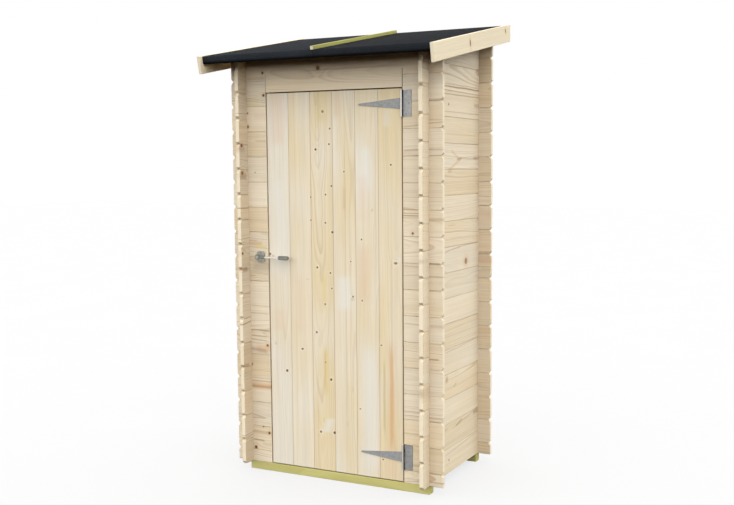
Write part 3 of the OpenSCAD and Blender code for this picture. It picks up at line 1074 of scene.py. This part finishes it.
@dataclass
class Roof:
    """The roof boards, felt, batten and barge boards."""

    slope: float = ROOF_SLOPE
    front_round: float = 0.008
    rear_round: float = 0.003

    def build(self) -> None:
        """Dresses the roof."""
        left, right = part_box("left_roofing_felt")[0].x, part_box("right_roofing_felt")[1].x
        dress_rows("roof_boards", ROOF_SPRUCE.material(
            "roof_boards", Grain.DEEP, foot=left, pitch=(right - left) / ROOF_BOARDS, seed=61.0,
            face=1.9, tilt=self.slope))
        for side, felt in (("left", LEFT_FELT), ("right", RIGHT_FELT)):
            name = side + "_roofing_felt"
            top = max(self.lie(vertex.co)[1] for vertex in frame["nodes"][name].data.vertices)
            settle(reshaped(name, 0.0014, 30.0, self.fold_softly), name + "_sheet",
                   felt.material(name, self.slope, top), "shed")
        single = {"grain": Grain.SIDE_WALL, "foot": 1.0, "pitch": 3.0, "tilt": self.slope}
        dress("roof_batten", BATTEN.material("roof_batten", seed=66.0, **single))
        for side, seed, knots in (("left", 71.0, ()), ("right", 74.0, BARGE_KNOTS)):
            name = side + "_barge_board"
            dress(name, BARGE_SPRUCE.material(name, seed=seed, face=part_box(name)[1].x,
                                              knots=knots, **single))

    def lie(self, place: Vector) -> tuple[float, float]:
        """Returns how far up the slope a place lies, and how high square to it."""
        along, out = math.cos(self.slope), math.sin(self.slope)
        return place.dot(Vector((0.0, along, out))), place.dot(Vector((0.0, -out, along)))

    def fold_softly(self, sheet: bpy.types.Object) -> None:
        """Rounds the felt where it turns down over the front and rear edges of the roof."""
        for way, radius in ((1, self.front_round), (-1, self.rear_round)):
            only(sheet)
            with editing():
                bpy.ops.mesh.select_mode(type="EDGE")
                bpy.ops.mesh.select_all(action="DESELECT")
            lies = [self.lie(vertex.co) for vertex in sheet.data.vertices]
            end = min(along * way for along, _ in lies) + 0.0005
            top = max(height for _, height in lies) - 0.0005
            for edge in sheet.data.edges:
                edge.select = all(lies[index][0] * way < end and lies[index][1] > top
                                  for index in edge.vertices)
            with editing():
                bpy.ops.mesh.bevel(offset=radius, segments=5, affect="EDGES")


@dataclass
class Door:
    """The boards of the door, with the ledges and braces behind them."""

    stock: Stock

    def build(self) -> None:
        """Dresses the door."""
        stock = self.stock
        for name in ("door_boards_odd", "door_boards_even"):
            first = round((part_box(name)[0].x - stock.door_left) / stock.door_pitch) % 2
            dress(name, DOOR_SPRUCE.material(
                name, Grain.UPRIGHT, foot=stock.door_left, pitch=stock.door_pitch, seed=81.0,
                face=stock.wall_front, knots=self.own(DOOR_KNOTS, first),
                streaks=self.own(DOOR_STREAKS, first)))
        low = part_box("door_ledges")[0]
        dress("door_ledges", SPRUCE.material(
            "door_ledges", Grain.LEVEL_WALL, foot=low.z - 0.3, pitch=0.772, seed=84.0, face=low.y))
        dress("door_braces", SPRUCE.material(
            "door_braces", Grain.UPRIGHT, foot=-1.0, pitch=2.0, seed=87.0, face=low.y))

    def own(self, marks: Sequence[Knot | Streak], first: int) -> list[Knot | Streak]:
        """Returns the marks that lie on every other board, counted from board 0 or board 1."""
        left, pitch = self.stock.door_left, self.stock.door_pitch
        return [one for one in marks if int((one.across * MM - left) / pitch) % 2 == first]


@dataclass
class Screw:
    """A countersunk cross-head screw, drawn with its head flush at the origin and its axis along Y.

    Sizes are in metres. The head faces the front, or the rear of a piece seen from inside.
    """

    material: bpy.types.Material
    head: float = 0.0041
    neck: float = 0.0020
    depth: float = 0.0021
    shank: float = 0.0003
    rim: float = 0.0005
    dome: float = 0.00025
    slot: float = 0.0009
    sunk: float = 0.0030
    reach: float = 0.0026
    taper: float = 0.45
    master: bpy.types.Object | None = None

    def model(self) -> None:
        """Models the screw once, as the master that is copied."""
        bpy.ops.object.select_all(action="DESELECT")
        bpy.ops.mesh.primitive_cylinder_add(vertices=24, radius=self.head, depth=self.depth,
                                            location=(0.0, self.depth / 2, 0.0),
                                            rotation=(math.pi / 2, 0.0, 0.0))
        screw = bpy.context.active_object
        apply_place()
        self.pick_faces(screw, lambda middle, normal: normal.y > 0.9)
        share = self.neck / self.head
        with editing():
            bpy.ops.transform.resize(value=(share, 1.0, share),
                                     center_override=(0.0, self.depth, 0.0))
            self.extrude(0.0, self.shank, 0.0)
        self.pick_faces(screw, lambda middle, normal: normal.y < -0.9)
        with editing():
            bpy.ops.mesh.inset(thickness=self.rim)
            bpy.ops.transform.translate(value=(0.0, -self.dome, 0.0))
        self.sink(screw)
        bpy.ops.object.shade_smooth_by_angle(angle=math.radians(30))
        self.master = screw

    def sink(self, screw: bpy.types.Object) -> None:
        """Sinks the cross into the head.

        Args:
            screw: The screw that is cut.
        """
        bpy.ops.object.select_all(action="DESELECT")
        bpy.ops.mesh.primitive_cube_add(size=self.slot, location=(0.0, 0.0, 0.0))
        cross = bpy.context.active_object
        bpy.ops.transform.resize(value=(1.0, self.sunk / self.slot, 1.0))
        apply_place()
        arm = self.reach - self.slot / 2
        for x, z in ((1, 0), (-1, 0), (0, 1), (0, -1)):
            self.pick_faces(cross, lambda middle, normal: normal.x * x + normal.z * z > 0.9
                            and abs(middle.x) + abs(middle.z) < self.slot)
            with editing():
                self.extrude(x * arm, 0.0, z * arm)
        self.pick_faces(cross, lambda middle, normal: normal.y > 0.9)
        with editing():
            bpy.ops.transform.resize(value=(self.taper, 1.0, self.taper),
                                     center_override=(0.0, 0.0, 0.0))
        only(screw)
        cut = screw.modifiers.new("cross", "BOOLEAN")
        cut.operation = "DIFFERENCE"
        cut.object = cross
        bpy.ops.object.modifier_apply(modifier="cross")
        bpy.data.objects.remove(cross)

    @staticmethod
    def extrude(x: float, y: float, z: float) -> None:
        """Extrudes the selected faces by this much."""
        bpy.ops.mesh.extrude_region_move(TRANSFORM_OT_translate={"value": (x, y, z)})

    @staticmethod
    def pick_faces(thing: bpy.types.Object, wanted: Callable[[Vector, Vector], bool]) -> None:
        """Selects the faces whose middle and normal are wanted, and nothing else."""
        only(thing)
        with editing():
            bpy.ops.mesh.select_mode(type="FACE")
            bpy.ops.mesh.select_all(action="DESELECT")
        for face in thing.data.polygons:
            face.select = wanted(face.center, face.normal)

    def drive(self, name: str, places: Iterable[Point], body: str, inside: bool = False) -> None:
        """Puts a set of screws in as one piece, each turned its own way.

        Args:
            name: The name of the set.
            places: The middle of each head, in metres.
            body: The body that they move with.
            inside: Whether the heads face the rear.
        """
        bpy.ops.object.select_all(action="DESELECT")
        first = None
        for count, place in enumerate(places):
            one = self.master.copy()
            one.data = self.master.data.copy()
            bpy.context.scene.collection.objects.link(one)
            turn = Matrix.Rotation(0.4 + 1.1 * count, 4, "Y")
            about = Matrix.Rotation(math.pi if inside else 0.0, 4, "Z")
            one.matrix_world = Matrix.Translation(place) @ about @ turn
            one.select_set(True)
            first = first or one
        bpy.context.view_layer.objects.active = first
        bpy.ops.object.join()
        apply_place()
        settle(first, name, self.material, body)


@dataclass
class Ironmongery:
    """The hinges, the latch and the screws, all placed from the hinge pins or the rosette.

    Screws are in mm, across and up. Other sizes are in metres.
    """

    stock: Stock
    plate_screws: tuple[tuple[float, float], ...] = ((20.0, 43.5), (32.0, 0.0), (20.0, -43.5))
    strap_screws: tuple[tuple[float, float], ...] = ((-19.0, -11.0), (-36.0, 10.0),
                                                     (-111.3, 0.0), (-176.4, 0.0))
    rosette_screws: tuple[tuple[float, float], ...] = ((0.0, 19.5), (0.0, -19.5))
    sheet_face: float = 0.00245
    rosette_face: float = 0.0049
    collar: float = 0.0387
    # Where the painted highlight sits on a knuckle's front, and how far the painted shade and the
    # painted highlight reach
    knuckle_front: tuple[float, float] = (0.0003, 0.0055)
    shaded: float = 0.0070
    painted_highlight: float = 0.0030
    ledge_heights: tuple[float, ...] = (0.154, 0.919, 1.684)
    ledge_reach: float = 0.30
    proud: float = 0.0003

    def build(self) -> None:
        """Replaces the metal nodes by smooth ones, dresses them and screws them on."""
        screw = Screw(ZINC.material("screw_zinc"))
        screw.model()
        self.hinge("lower", GREY_ZINC, DIM_HIGHLIGHT_ZINC, screw)
        self.hinge("upper", PALE_ZINC, PIN_AND_HIGHLIGHT_ZINC, screw)
        self.latch(screw)
        self.inside(screw)
        bpy.data.objects.remove(screw.master)

    def hinge(self, place: str, skin: Metal, painted_highlight: Metal, screw: Screw) -> None:
        """Makes one hinge, with painted shade round its knuckles and a painted highlight down their
        front.

        Args:
            place: Which hinge it is, lower or upper.
            skin: The metal of its plate.
            painted_highlight: The metal of the painted highlight down its knuckles' front.
            screw: The screw that holds it.
        """
        low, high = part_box(place + "_hinge_pin")
        pin = (low + high) / 2
        left, forward = self.knuckle_front
        flat = (1.0, 1.0, 0.0)
        # Painted shade round each knuckle, and over it a painted highlight down the knuckle's front
        painted_light = (Patch(SHADED_ZINC, (pin.x, pin.y, 0.0), flat, self.shaded),
                Patch(painted_highlight, (pin.x - left, pin.y - forward, 0.0), flat, self.painted_highlight))
        self.smooth(place + "_hinge_plate", place + "_plate",
                    skin.material(place + "_plate_zinc", painted_light), "shed", "zinc_plate")
        self.smooth(place + "_hinge_strap", place + "_strap",
                    ZINC.material(place + "_strap_zinc", painted_light), "door", "zinc_plate")
        self.smooth(place + "_hinge_pin", place + "_pin",
                    PIN_AND_HIGHLIGHT_ZINC.material(place + "_pin_steel"), "shed", "bright_steel")
        face = self.stock.wall_front - self.sheet_face
        for part, screws, body in (("plate", self.plate_screws, "shed"),
                                   ("strap", self.strap_screws, "door")):
            screw.drive(f"{place}_{part}_screws",
                        [(pin.x + x * MM, face, pin.z + z * MM) for x, z in screws], body)

    def latch(self, screw: Screw) -> None:
        """Makes the latch.

        Args:
            screw: The screw that holds it.
        """
        low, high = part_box("latch_rosette")
        middle = (low + high) / 2
        collar = Patch(CAST, tuple(middle), (1.0, 0.0, 0.0), self.collar)
        self.smooth("latch_rosette", "rosette", PALE_CAST.material("rosette_grey"), "shed",
                    "cast_grey", 0.0008)
        self.smooth("latch_lever", "lever", BRIGHT_STEEL.material("lever_steel", (collar,)),
                    "latch_lever", "bright_steel", 0.0006)
        self.smooth("latch_grip", "grip", CAST.material("cast_grey"), "latch_lever", "cast_grey")
        face = self.stock.wall_front - self.rosette_face
        screw.drive("rosette_screws",
                    [(middle.x + x * MM, face, middle.z + z * MM)
                     for x, z in self.rosette_screws], "shed")

    @staticmethod
    def smooth(node: str, name: str, material: bpy.types.Material, body: str, slot: str,
               edge: float = 0.0004) -> None:
        """Replaces a node by a smooth copy of it.

        Args:
            node: The node.
            name: The copy's name.
            material: Its material.
            body: The body that it moves with.
            slot: Not used.
            edge: The width of the rounding of its edges, in metres.
        """
        settle(reshaped(node, edge), name, material, body)

    def inside(self, screw: Screw) -> None:
        """Screws the ledges to the door boards and the posts to the short logs, from inside.

        Args:
            screw: The screw that is used.
        """
        stock = self.stock
        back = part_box("door_ledges")[1].y + self.proud
        boards = [stock.door_left + (count + 0.5) * stock.door_pitch
                  for count in range(DOOR_BOARDS)]
        screw.drive("ledge_screws",
                    [(x + side * 0.03, back, height - side * 0.02)
                     for height in self.ledge_heights for x in boards
                     if abs(x) < self.ledge_reach for side in (-1, 1)], "door", inside=True)
        for side in ("left", "right"):
            low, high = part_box(side + "_door_post")
            x = (low.x + high.x) / 2
            screw.drive(side + "_post_screws",
                        [(x + (0.009 if count % 2 else -0.009), high.y + self.proud,
                          stock.bearer_top + (count - 0.05) * stock.log_pitch)
                         for count in range(1, COURSES + 1)], "shed", inside=True)


# ---------------------------------------------------------------------------
# Knots that stand out, along and across the grain in mm
# ---------------------------------------------------------------------------

def knots(*rows: Row) -> tuple[Knot, ...]:
    """Returns a knot for each row of its values."""
    return tuple(Knot(*row) for row in rows)


def streaks(*rows: Row) -> tuple[Streak, ...]:
    """Returns a streak for each row of its values."""
    return tuple(Streak(*row) for row in rows)


DOOR_KNOTS = knots(
    (1660, -48, 6.5), (1585, -12, 4.5, 0.7), (1517, -17, 4.5, 0.7), (1495, -86, 5.5),
    (1426, 288, 4.5, 0.8), (1397, 57, 4, 0.6), (1334, -7, 4.5, 0.8), (1296, -38, 4.5, 0.6),
    (1284, -114, 4, 0.6), (1181, -114, 4, 0.7), (1171, -40, 4.5, 0.7), (1130, -5, 5.5, 0.9),
    (1102, 142, 4, 0.6), (1022, -336, 6, 0.7), (806, -46, 5, 0.8), (676, -92, 5, 0.8),
    (542, -48, 5, 0.8), (486, -254, 6.5), (465, -20, 6), (222, -5, 6.5), (219, -77, 5.5),
    (970, -85, 5, 0.8), (948, -17, 4.5, 0.7), (879, -11, 4, 0.7), (848, 97, 4.5, 0.8),
    (833, 143, 4.5, 0.6), (1003, 87, 3.5, 0.5), (1004, 309, 5.5, 0.3, 1.6),
    (641, 237, 3.5, 0.4, 1.5), (594, -169, 5, 0.6, 1.3), (346, 129, 3, 0.4, 1.8),
    (129, 242, 3.5, 0.5, 1.5),
)
DOOR_STREAKS = streaks(
    (900, 61, 880, 3, 0.22), (1400, 213, 500, 3, 0.16), (1620, -84, 220, 3, 0.2),
    (1600, -70, 220, 3, 0.16), (1650, 92, 160, 3, 0.16), (1300, -40, 400, 3, 0.14),
    (500, -30, 400, 4, 0.14), (700, 290, 400, 4, 0.14), (300, -90, 250, 4, 0.16),
    (500, -200, 400, 4, 0.1), (1280, 57, 60, 12, 0.14), (1231, 196, 7, 8, 0.25, BROWN, 0.6),
    (1410, 165, 110, 50, 0.6, WHITE), (1150, -284, 250, 60, 0.5, WHITE),
    (1690, -60, 90, 50, 0.4, YELLOW), (1700, 25, 80, 26, 0.35, PINK),
    (1625, 270, 45, 30, 0.35, WHITE), (861, 50, 90, 62, 0.6, WHITE),
    (340, 180, 340, 64, 0.6, WHITE), (950, 150, 150, 56, 0.4, PINK),
    (1280, 150, 120, 50, 0.25, PINK), (860, -52, 90, 20, 0.4, YELLOW),
    (410, 286, 260, 12, 0.6, ORANGE), (410, 286, 300, 40, 0.3, ORANGE),
    (410, 250, 190, 9, 0.55, OLIVE), (252, -36, 40, 44, 0.6, WHITE, 0.4),
    (274, -60, 14, 12, 0.4, YELLOW), (500, -44, 130, 22, 0.6, YELLOW),
    (510, -50, 100, 7, 0.35, ORANGE), (430, 92, 16, 9, 0.22, ORANGE),
    (270, 62, 16, 9, 0.22, ORANGE), (836, 95, 9, 16, 0.35, GREY), (610, -312, 9, 9, 0.35, GREY),
    (915, -137, 4, 14, 0.14), (1012, -320, 9, 14, 0.35), (800, -180, 160, 55, 0.25, PINK),
    (720, -290, 60, 54, 0.25, PINK), (120, 290, 90, 50, 0.3, PINK),
    (1021, 328, 12, 14, 0.6, WHITE), (1640, -284, 150, 62, 0.35, PINK),
)
LEFT_STUB_KNOTS = knots(
    (-435, 104, 8), (-357, 1740, 6.5), (-358, 180, 7), (-391, 207, 4, 0.5), (-450, 500, 6, 0.7),
    (-446, 1662, 4, 0.7), (-444, 1601, 5, 0.6, 1.5), (-410, 1393, 2.5, 0.6), (-359, 595, 6.5),
)
LEFT_STUB_STREAKS_AND_SHADOW = streaks(
    (-415, 1068, 44, 15, 0.5, ORANGE, 0.03), (-430, 1081, 28, 4, 0.3),
    (-385, 1054, 40, 18, 0.6, YELLOW, -0.1), (-401, 742, 60, 3, 0.4, BROWN, -0.02),
    (-422, 1711, 50, 30, 0.35, YELLOW), (-376, 1647, 40, 26, 0.35, PINK),
    # The grey patch at 960 under the latch is a painted shadow of the latch
    (-380, 960, 60, 44, 0.4, GREY), (-370, 580, 60, 26, 0.45, ORANGE),
    (-399, 663, 60, 4, 0.5, BROWN, -0.03), (-403, 636, 55, 5, 0.55, BROWN, -0.04),
    (-404, 618, 55, 5, 0.3, BROWN, -0.08), (-412, 572, 60, 18, 0.42, BROWN, -0.12),
    (-436, 918, 22, 3, 0.45), (-394, 402, 90, 26, 0.6, ORANGE), (-394, 398, 90, 12, 0.35),
    (-394, 424, 80, 6, 0.35), (-415, 140, 36, 7, 0.55, BROWN, -0.1), (-410, 180, 60, 14, 0.3),
)
RIGHT_STUB_KNOTS = knots(
    (391, 1135, 5.5, 0.7), (383, 203, 4, 0.4),
)
RIGHT_STUB_STREAKS = streaks(
    (440, 1594, 120, 5, 0.4, BROWN, 0.08), (497, 1612, 40, 6, 0.3), (440, 1488, 120, 5, 0.4),
    (500, 1694, 45, 9, 0.3), (385, 1220, 60, 4, 0.55), (385, 1210, 60, 5, 0.6),
    (385, 1201, 60, 3, 0.45), (500, 1195, 45, 14, 0.35), (489, 1009, 36, 9, 0.55),
    (497, 953, 45, 6, 0.4), (390, 993, 60, 3, 0.35, BROWN, -0.02),
    (390, 957, 60, 4, 0.28, BROWN, 0.05), (388, 745, 50, 6, 0.3), (505, 740, 45, 18, 0.28),
    (485, 597, 34, 7, 0.6), (385, 359, 60, 3, 0.4), (385, 341, 60, 3, 0.45),
    (498, 342, 50, 5, 0.4), (498, 326, 50, 5, 0.4), (380, 261, 60, 6, 0.3),
    (403, 122, 50, 10, 0.35), (498, 58, 50, 6, 0.45), (498, 98, 50, 5, 0.35),
    (400, 60, 60, 6, 0.25),
)
# On the side walls and the barge boards, along is measured from the front of the door wall
LEFT_WALL_KNOTS = knots(
    (-45, 1515, 8, 0.7), (-44, 1391, 9, 0.3), (-54, 1024, 6),
)
LEFT_WALL_STREAKS = streaks(
    (-36, 1375, 30, 26, 0.45), (-40, 950, 26, 18, 0.55), (-42, 502, 26, 14, 0.45),
    (-45, 1500, 28, 26, 0.25), (-32, 1659, 60, 4, 0.4), (-34, 1232, 60, 5, 0.65),
    (-36, 1090, 60, 3, 0.4, BROWN, 0.1), (-29, 700, 60, 6, 0.6, BROWN, 0.15),
    (-30, 722, 60, 3, 0.4, BROWN, 0.15), (-27, 175, 60, 4, 0.5, BROWN, 0.1),
    (-27, 163, 60, 4, 0.5, BROWN, 0.1),
)
RIGHT_WALL_KNOTS = knots(
    (401, 986, 15, 0.45), (205, 1688, 4.5, 0.7), (209, 98, 4.5, 0.5),
)
RIGHT_WALL_STREAKS_AND_HIGHLIGHT = streaks(
    (350, 1767, 330, 6, 0.75, BROWN, 0.013), (350, 1778, 330, 4, 0.4, BROWN, 0.013),
    (350, 1734, 330, 5, 0.5, BROWN, 0.01), (340, 1657, 330, 4, 0.38, BROWN, 0.01),
    (283, 1468, 60, 13, 0.45, TAN, -0.42), (265, 1425, 85, 12, 0.45, TAN, 0.35),
    (430, 1454, 110, 8, 0.25), (248, 1050, 110, 4, 0.5, BROWN, 0.08),
    (430, 1060, 150, 4, 0.4, BROWN, 0.02), (240, 1158, 50, 3, 0.35),
    (323, 246, 40, 7, 0.5, BROWN, 0.25), (430, 252, 200, 4, 0.4, BROWN, 0.1),
    (350, 136, 250, 4, 0.35, BROWN, 0.05), (350, 600, 250, 4, 0.3, BROWN, 0.04),
    (276, 431, 20, 6, 0.4, BROWN, 0.4), (350, 1560, 200, 3, 0.25), (530, 1698, 44, 16, 0.34),
    (324, 1452, 34, 9, 0.5, BROWN, 0.1), (520, 1457, 40, 10, 0.5), (219, 1396, 26, 12, 0.3),
    (185, 471, 16, 26, 0.42), (530, 252, 44, 16, 0.5), (-40, 460, 60, 40, 0.36),
    # The cream streak at -26 that runs up the log ends in front of the door wall is a painted
    # highlight
    (-50, 1022, 50, 16, 0.28), (-40, 1760, 60, 8, 0.45), (-26, 950, 36, 3000, 0.5, HIGHLIGHT_CREAM),
    (401, 987, 30, 26, 0.2, PINK),
)
REAR_WALL_STREAKS = streaks(
    (500, 1014, 42, 9, 0.45), (500, 975, 45, 22, 0.4, ORANGE), (505, 937, 30, 10, 0.35, OLIVE),
    (500, 1190, 45, 50, 0.3, PINK),
)
TOP_LOG_KNOTS = knots(
    (-360, 1840, 6, 0.8), (-69, 1849, 10, 0.4),
)
TOP_LOG_STREAKS_AND_SHADE = streaks(
    # The long brown band at 1895 along the top of the log is painted shade under the eaves
    (-397, 1816, 60, 14, 0.3), (100, 1842, 300, 8, 0.3, BROWN, 0.01), (0, 1895, 900, 60, 0.5),
)
BARGE_KNOTS = knots(
    (341, 1915, 6.5, 0.5, 2.4), (779, 1929, 5.5, 0.6, 1.8),
)


# ---------------------------------------------------------------------------
# Camera, lights and ground
# ---------------------------------------------------------------------------


@dataclass(frozen=True)
class Viewpoint:
    """The camera: its place in metres, its turn in degrees, its lens in mm and its shift."""

    place: Point = (2.2103, -3.9939, 1.4107)
    yaw: float = 25.222
    pitch: float = -5.82
    roll: float = -0.129
    lens: float = 47.97
    shift: tuple[float, float] = (-0.0795, 0.0211)

    def build(self) -> None:
        """Makes the camera."""
        data = bpy.data.cameras.new("camera")
        data.lens = self.lens
        data.sensor_width = 36.0
        data.shift_x, data.shift_y = self.shift
        camera = bpy.data.objects.new("camera", data)
        bpy.context.scene.collection.objects.link(camera)
        turn = (Matrix.Rotation(math.radians(self.yaw), 4, "Z")
                @ Matrix.Rotation(math.radians(90 + self.pitch), 4, "X")
                @ Matrix.Rotation(math.radians(self.roll), 4, "Z"))
        camera.matrix_world = Matrix.Translation(self.place) @ turn
        bpy.context.scene.camera = camera


@dataclass(frozen=True)
class Studio:
    """A pale floor under an even white dome, and a soft lamp. Angles are in degrees."""

    dome: float = 1.62
    dome_foot: tuple[float, float] = (-1.5, 1.5)
    horizon: float = 0.30
    lamp_watts: float = 30.0
    lamp_azimuth: float = 40.0
    lamp_height: float = 46.0
    lamp_distance: float = 6.0
    lamp_size: float = 1.6
    floor_size: float = 60.0
    floor_pale: float = 0.125
    floor_cloud: float = 0.01
    floor_dark: float = 0.008
    floor_glow: float = 0.76

    def build(self) -> None:
        """Makes the world, the lamp and the floor."""
        self.world()
        self.lamp()
        self.floor()
        bpy.context.scene.view_settings.view_transform = "Standard"

    @staticmethod
    def seen(g: Graph) -> Socket:
        """Returns 1 for what the camera, a reflection or glass sees, and 0 for other light."""
        path = g.add("LightPath")
        rays = g.plus(path["Is Glossy Ray"], path["Is Transmission Ray"])
        return g.math("MINIMUM", g.plus(path["Is Camera Ray"], rays), 1.0)

    def world(self) -> None:
        """Makes the dome that lights the shed, and looks plain white wherever it is seen."""
        world = bpy.data.worlds.new("studio")
        world.use_nodes = True
        bpy.context.scene.world = world
        g = Graph(world.node_tree)
        back = world.node_tree.nodes["Background"]
        back.inputs["Color"].default_value = (1.0, 1.0, 1.0, 1.0)
        up = g.parts(g.add("TexCoord")["Generated"])[2]
        low, high = (math.sin(math.radians(angle)) for angle in self.dome_foot)
        seen = self.seen(g)
        level = g.math("POWER", g.less(1.0, up), 2.0)
        glow = g.times(g.step(up, low, high, 0.0, self.dome), g.scaled(level, self.horizon, 1.0))
        light = g.times(glow, g.less(1.0, seen))
        g.feed(back.inputs["Strength"], g.plus(seen, light))

    def lamp(self) -> None:
        """Makes the lamp, which looks at the middle of the shed."""
        data = bpy.data.lights.new("soft_lamp", "AREA")
        data.energy = self.lamp_watts
        data.shape = "SQUARE"
        data.size = self.lamp_size
        lamp = bpy.data.objects.new("soft_lamp", data)
        bpy.context.scene.collection.objects.link(lamp)
        turn = (Matrix.Rotation(math.radians(self.lamp_azimuth), 3, "Z")
                @ Matrix.Rotation(math.radians(-self.lamp_height), 3, "X"))
        away = turn @ Vector((0.0, -1.0, 0.0))
        lamp.location = Vector((0.0, 0.0, 1.0)) + away * self.lamp_distance
        lamp.rotation_euler = away.to_track_quat("Z", "Y").to_euler()

    def floor(self) -> None:
        """Makes the floor, which keeps the shed's shadow and throws little light back up."""
        bpy.ops.object.select_all(action="DESELECT")
        bpy.ops.mesh.primitive_plane_add(size=self.floor_size, location=(0.0, 0.0, 0.0))
        floor = bpy.context.active_object
        floor.name = "floor"
        skin = Skin("floor")
        g, shader = skin.g, skin.shader
        shader["Specular IOR Level"].default_value = 0.0
        shader["Roughness"].default_value = 1.0
        seen = self.seen(g)
        cloud = g.noise(skin.given()[0], scale=1.5, detail=2.0)[0]
        pale = g.scaled(cloud, self.floor_cloud, self.floor_pale)
        shade = g.plus(self.floor_dark, g.times(seen, pale))
        g.feed(shader["Base Color"], g.join(shade, shade, shade))
        shader["Emission Color"].default_value = (1.0, 1.0, 1.0, 1.0)
        g.feed(shader["Emission Strength"], g.times(seen, self.floor_glow))
        floor.data.materials.append(skin.material)


def main() -> None:
    """Builds everything in order."""
    logging.basicConfig(level=logging.INFO, format="%(message)s")
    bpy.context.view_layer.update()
    Viewpoint().build()
    Studio().build()
    stock = Stock.from_frame()
    log.info("log pitch %.4f, door pitch %.4f", stock.log_pitch, stock.door_pitch)
    for assembly in (Walls(stock), Base(), Roof(), Door(stock), Ironmongery(stock)):
        log.info("%s", type(assembly).__name__)
        assembly.build()


if __name__ == "__main__":
    main()
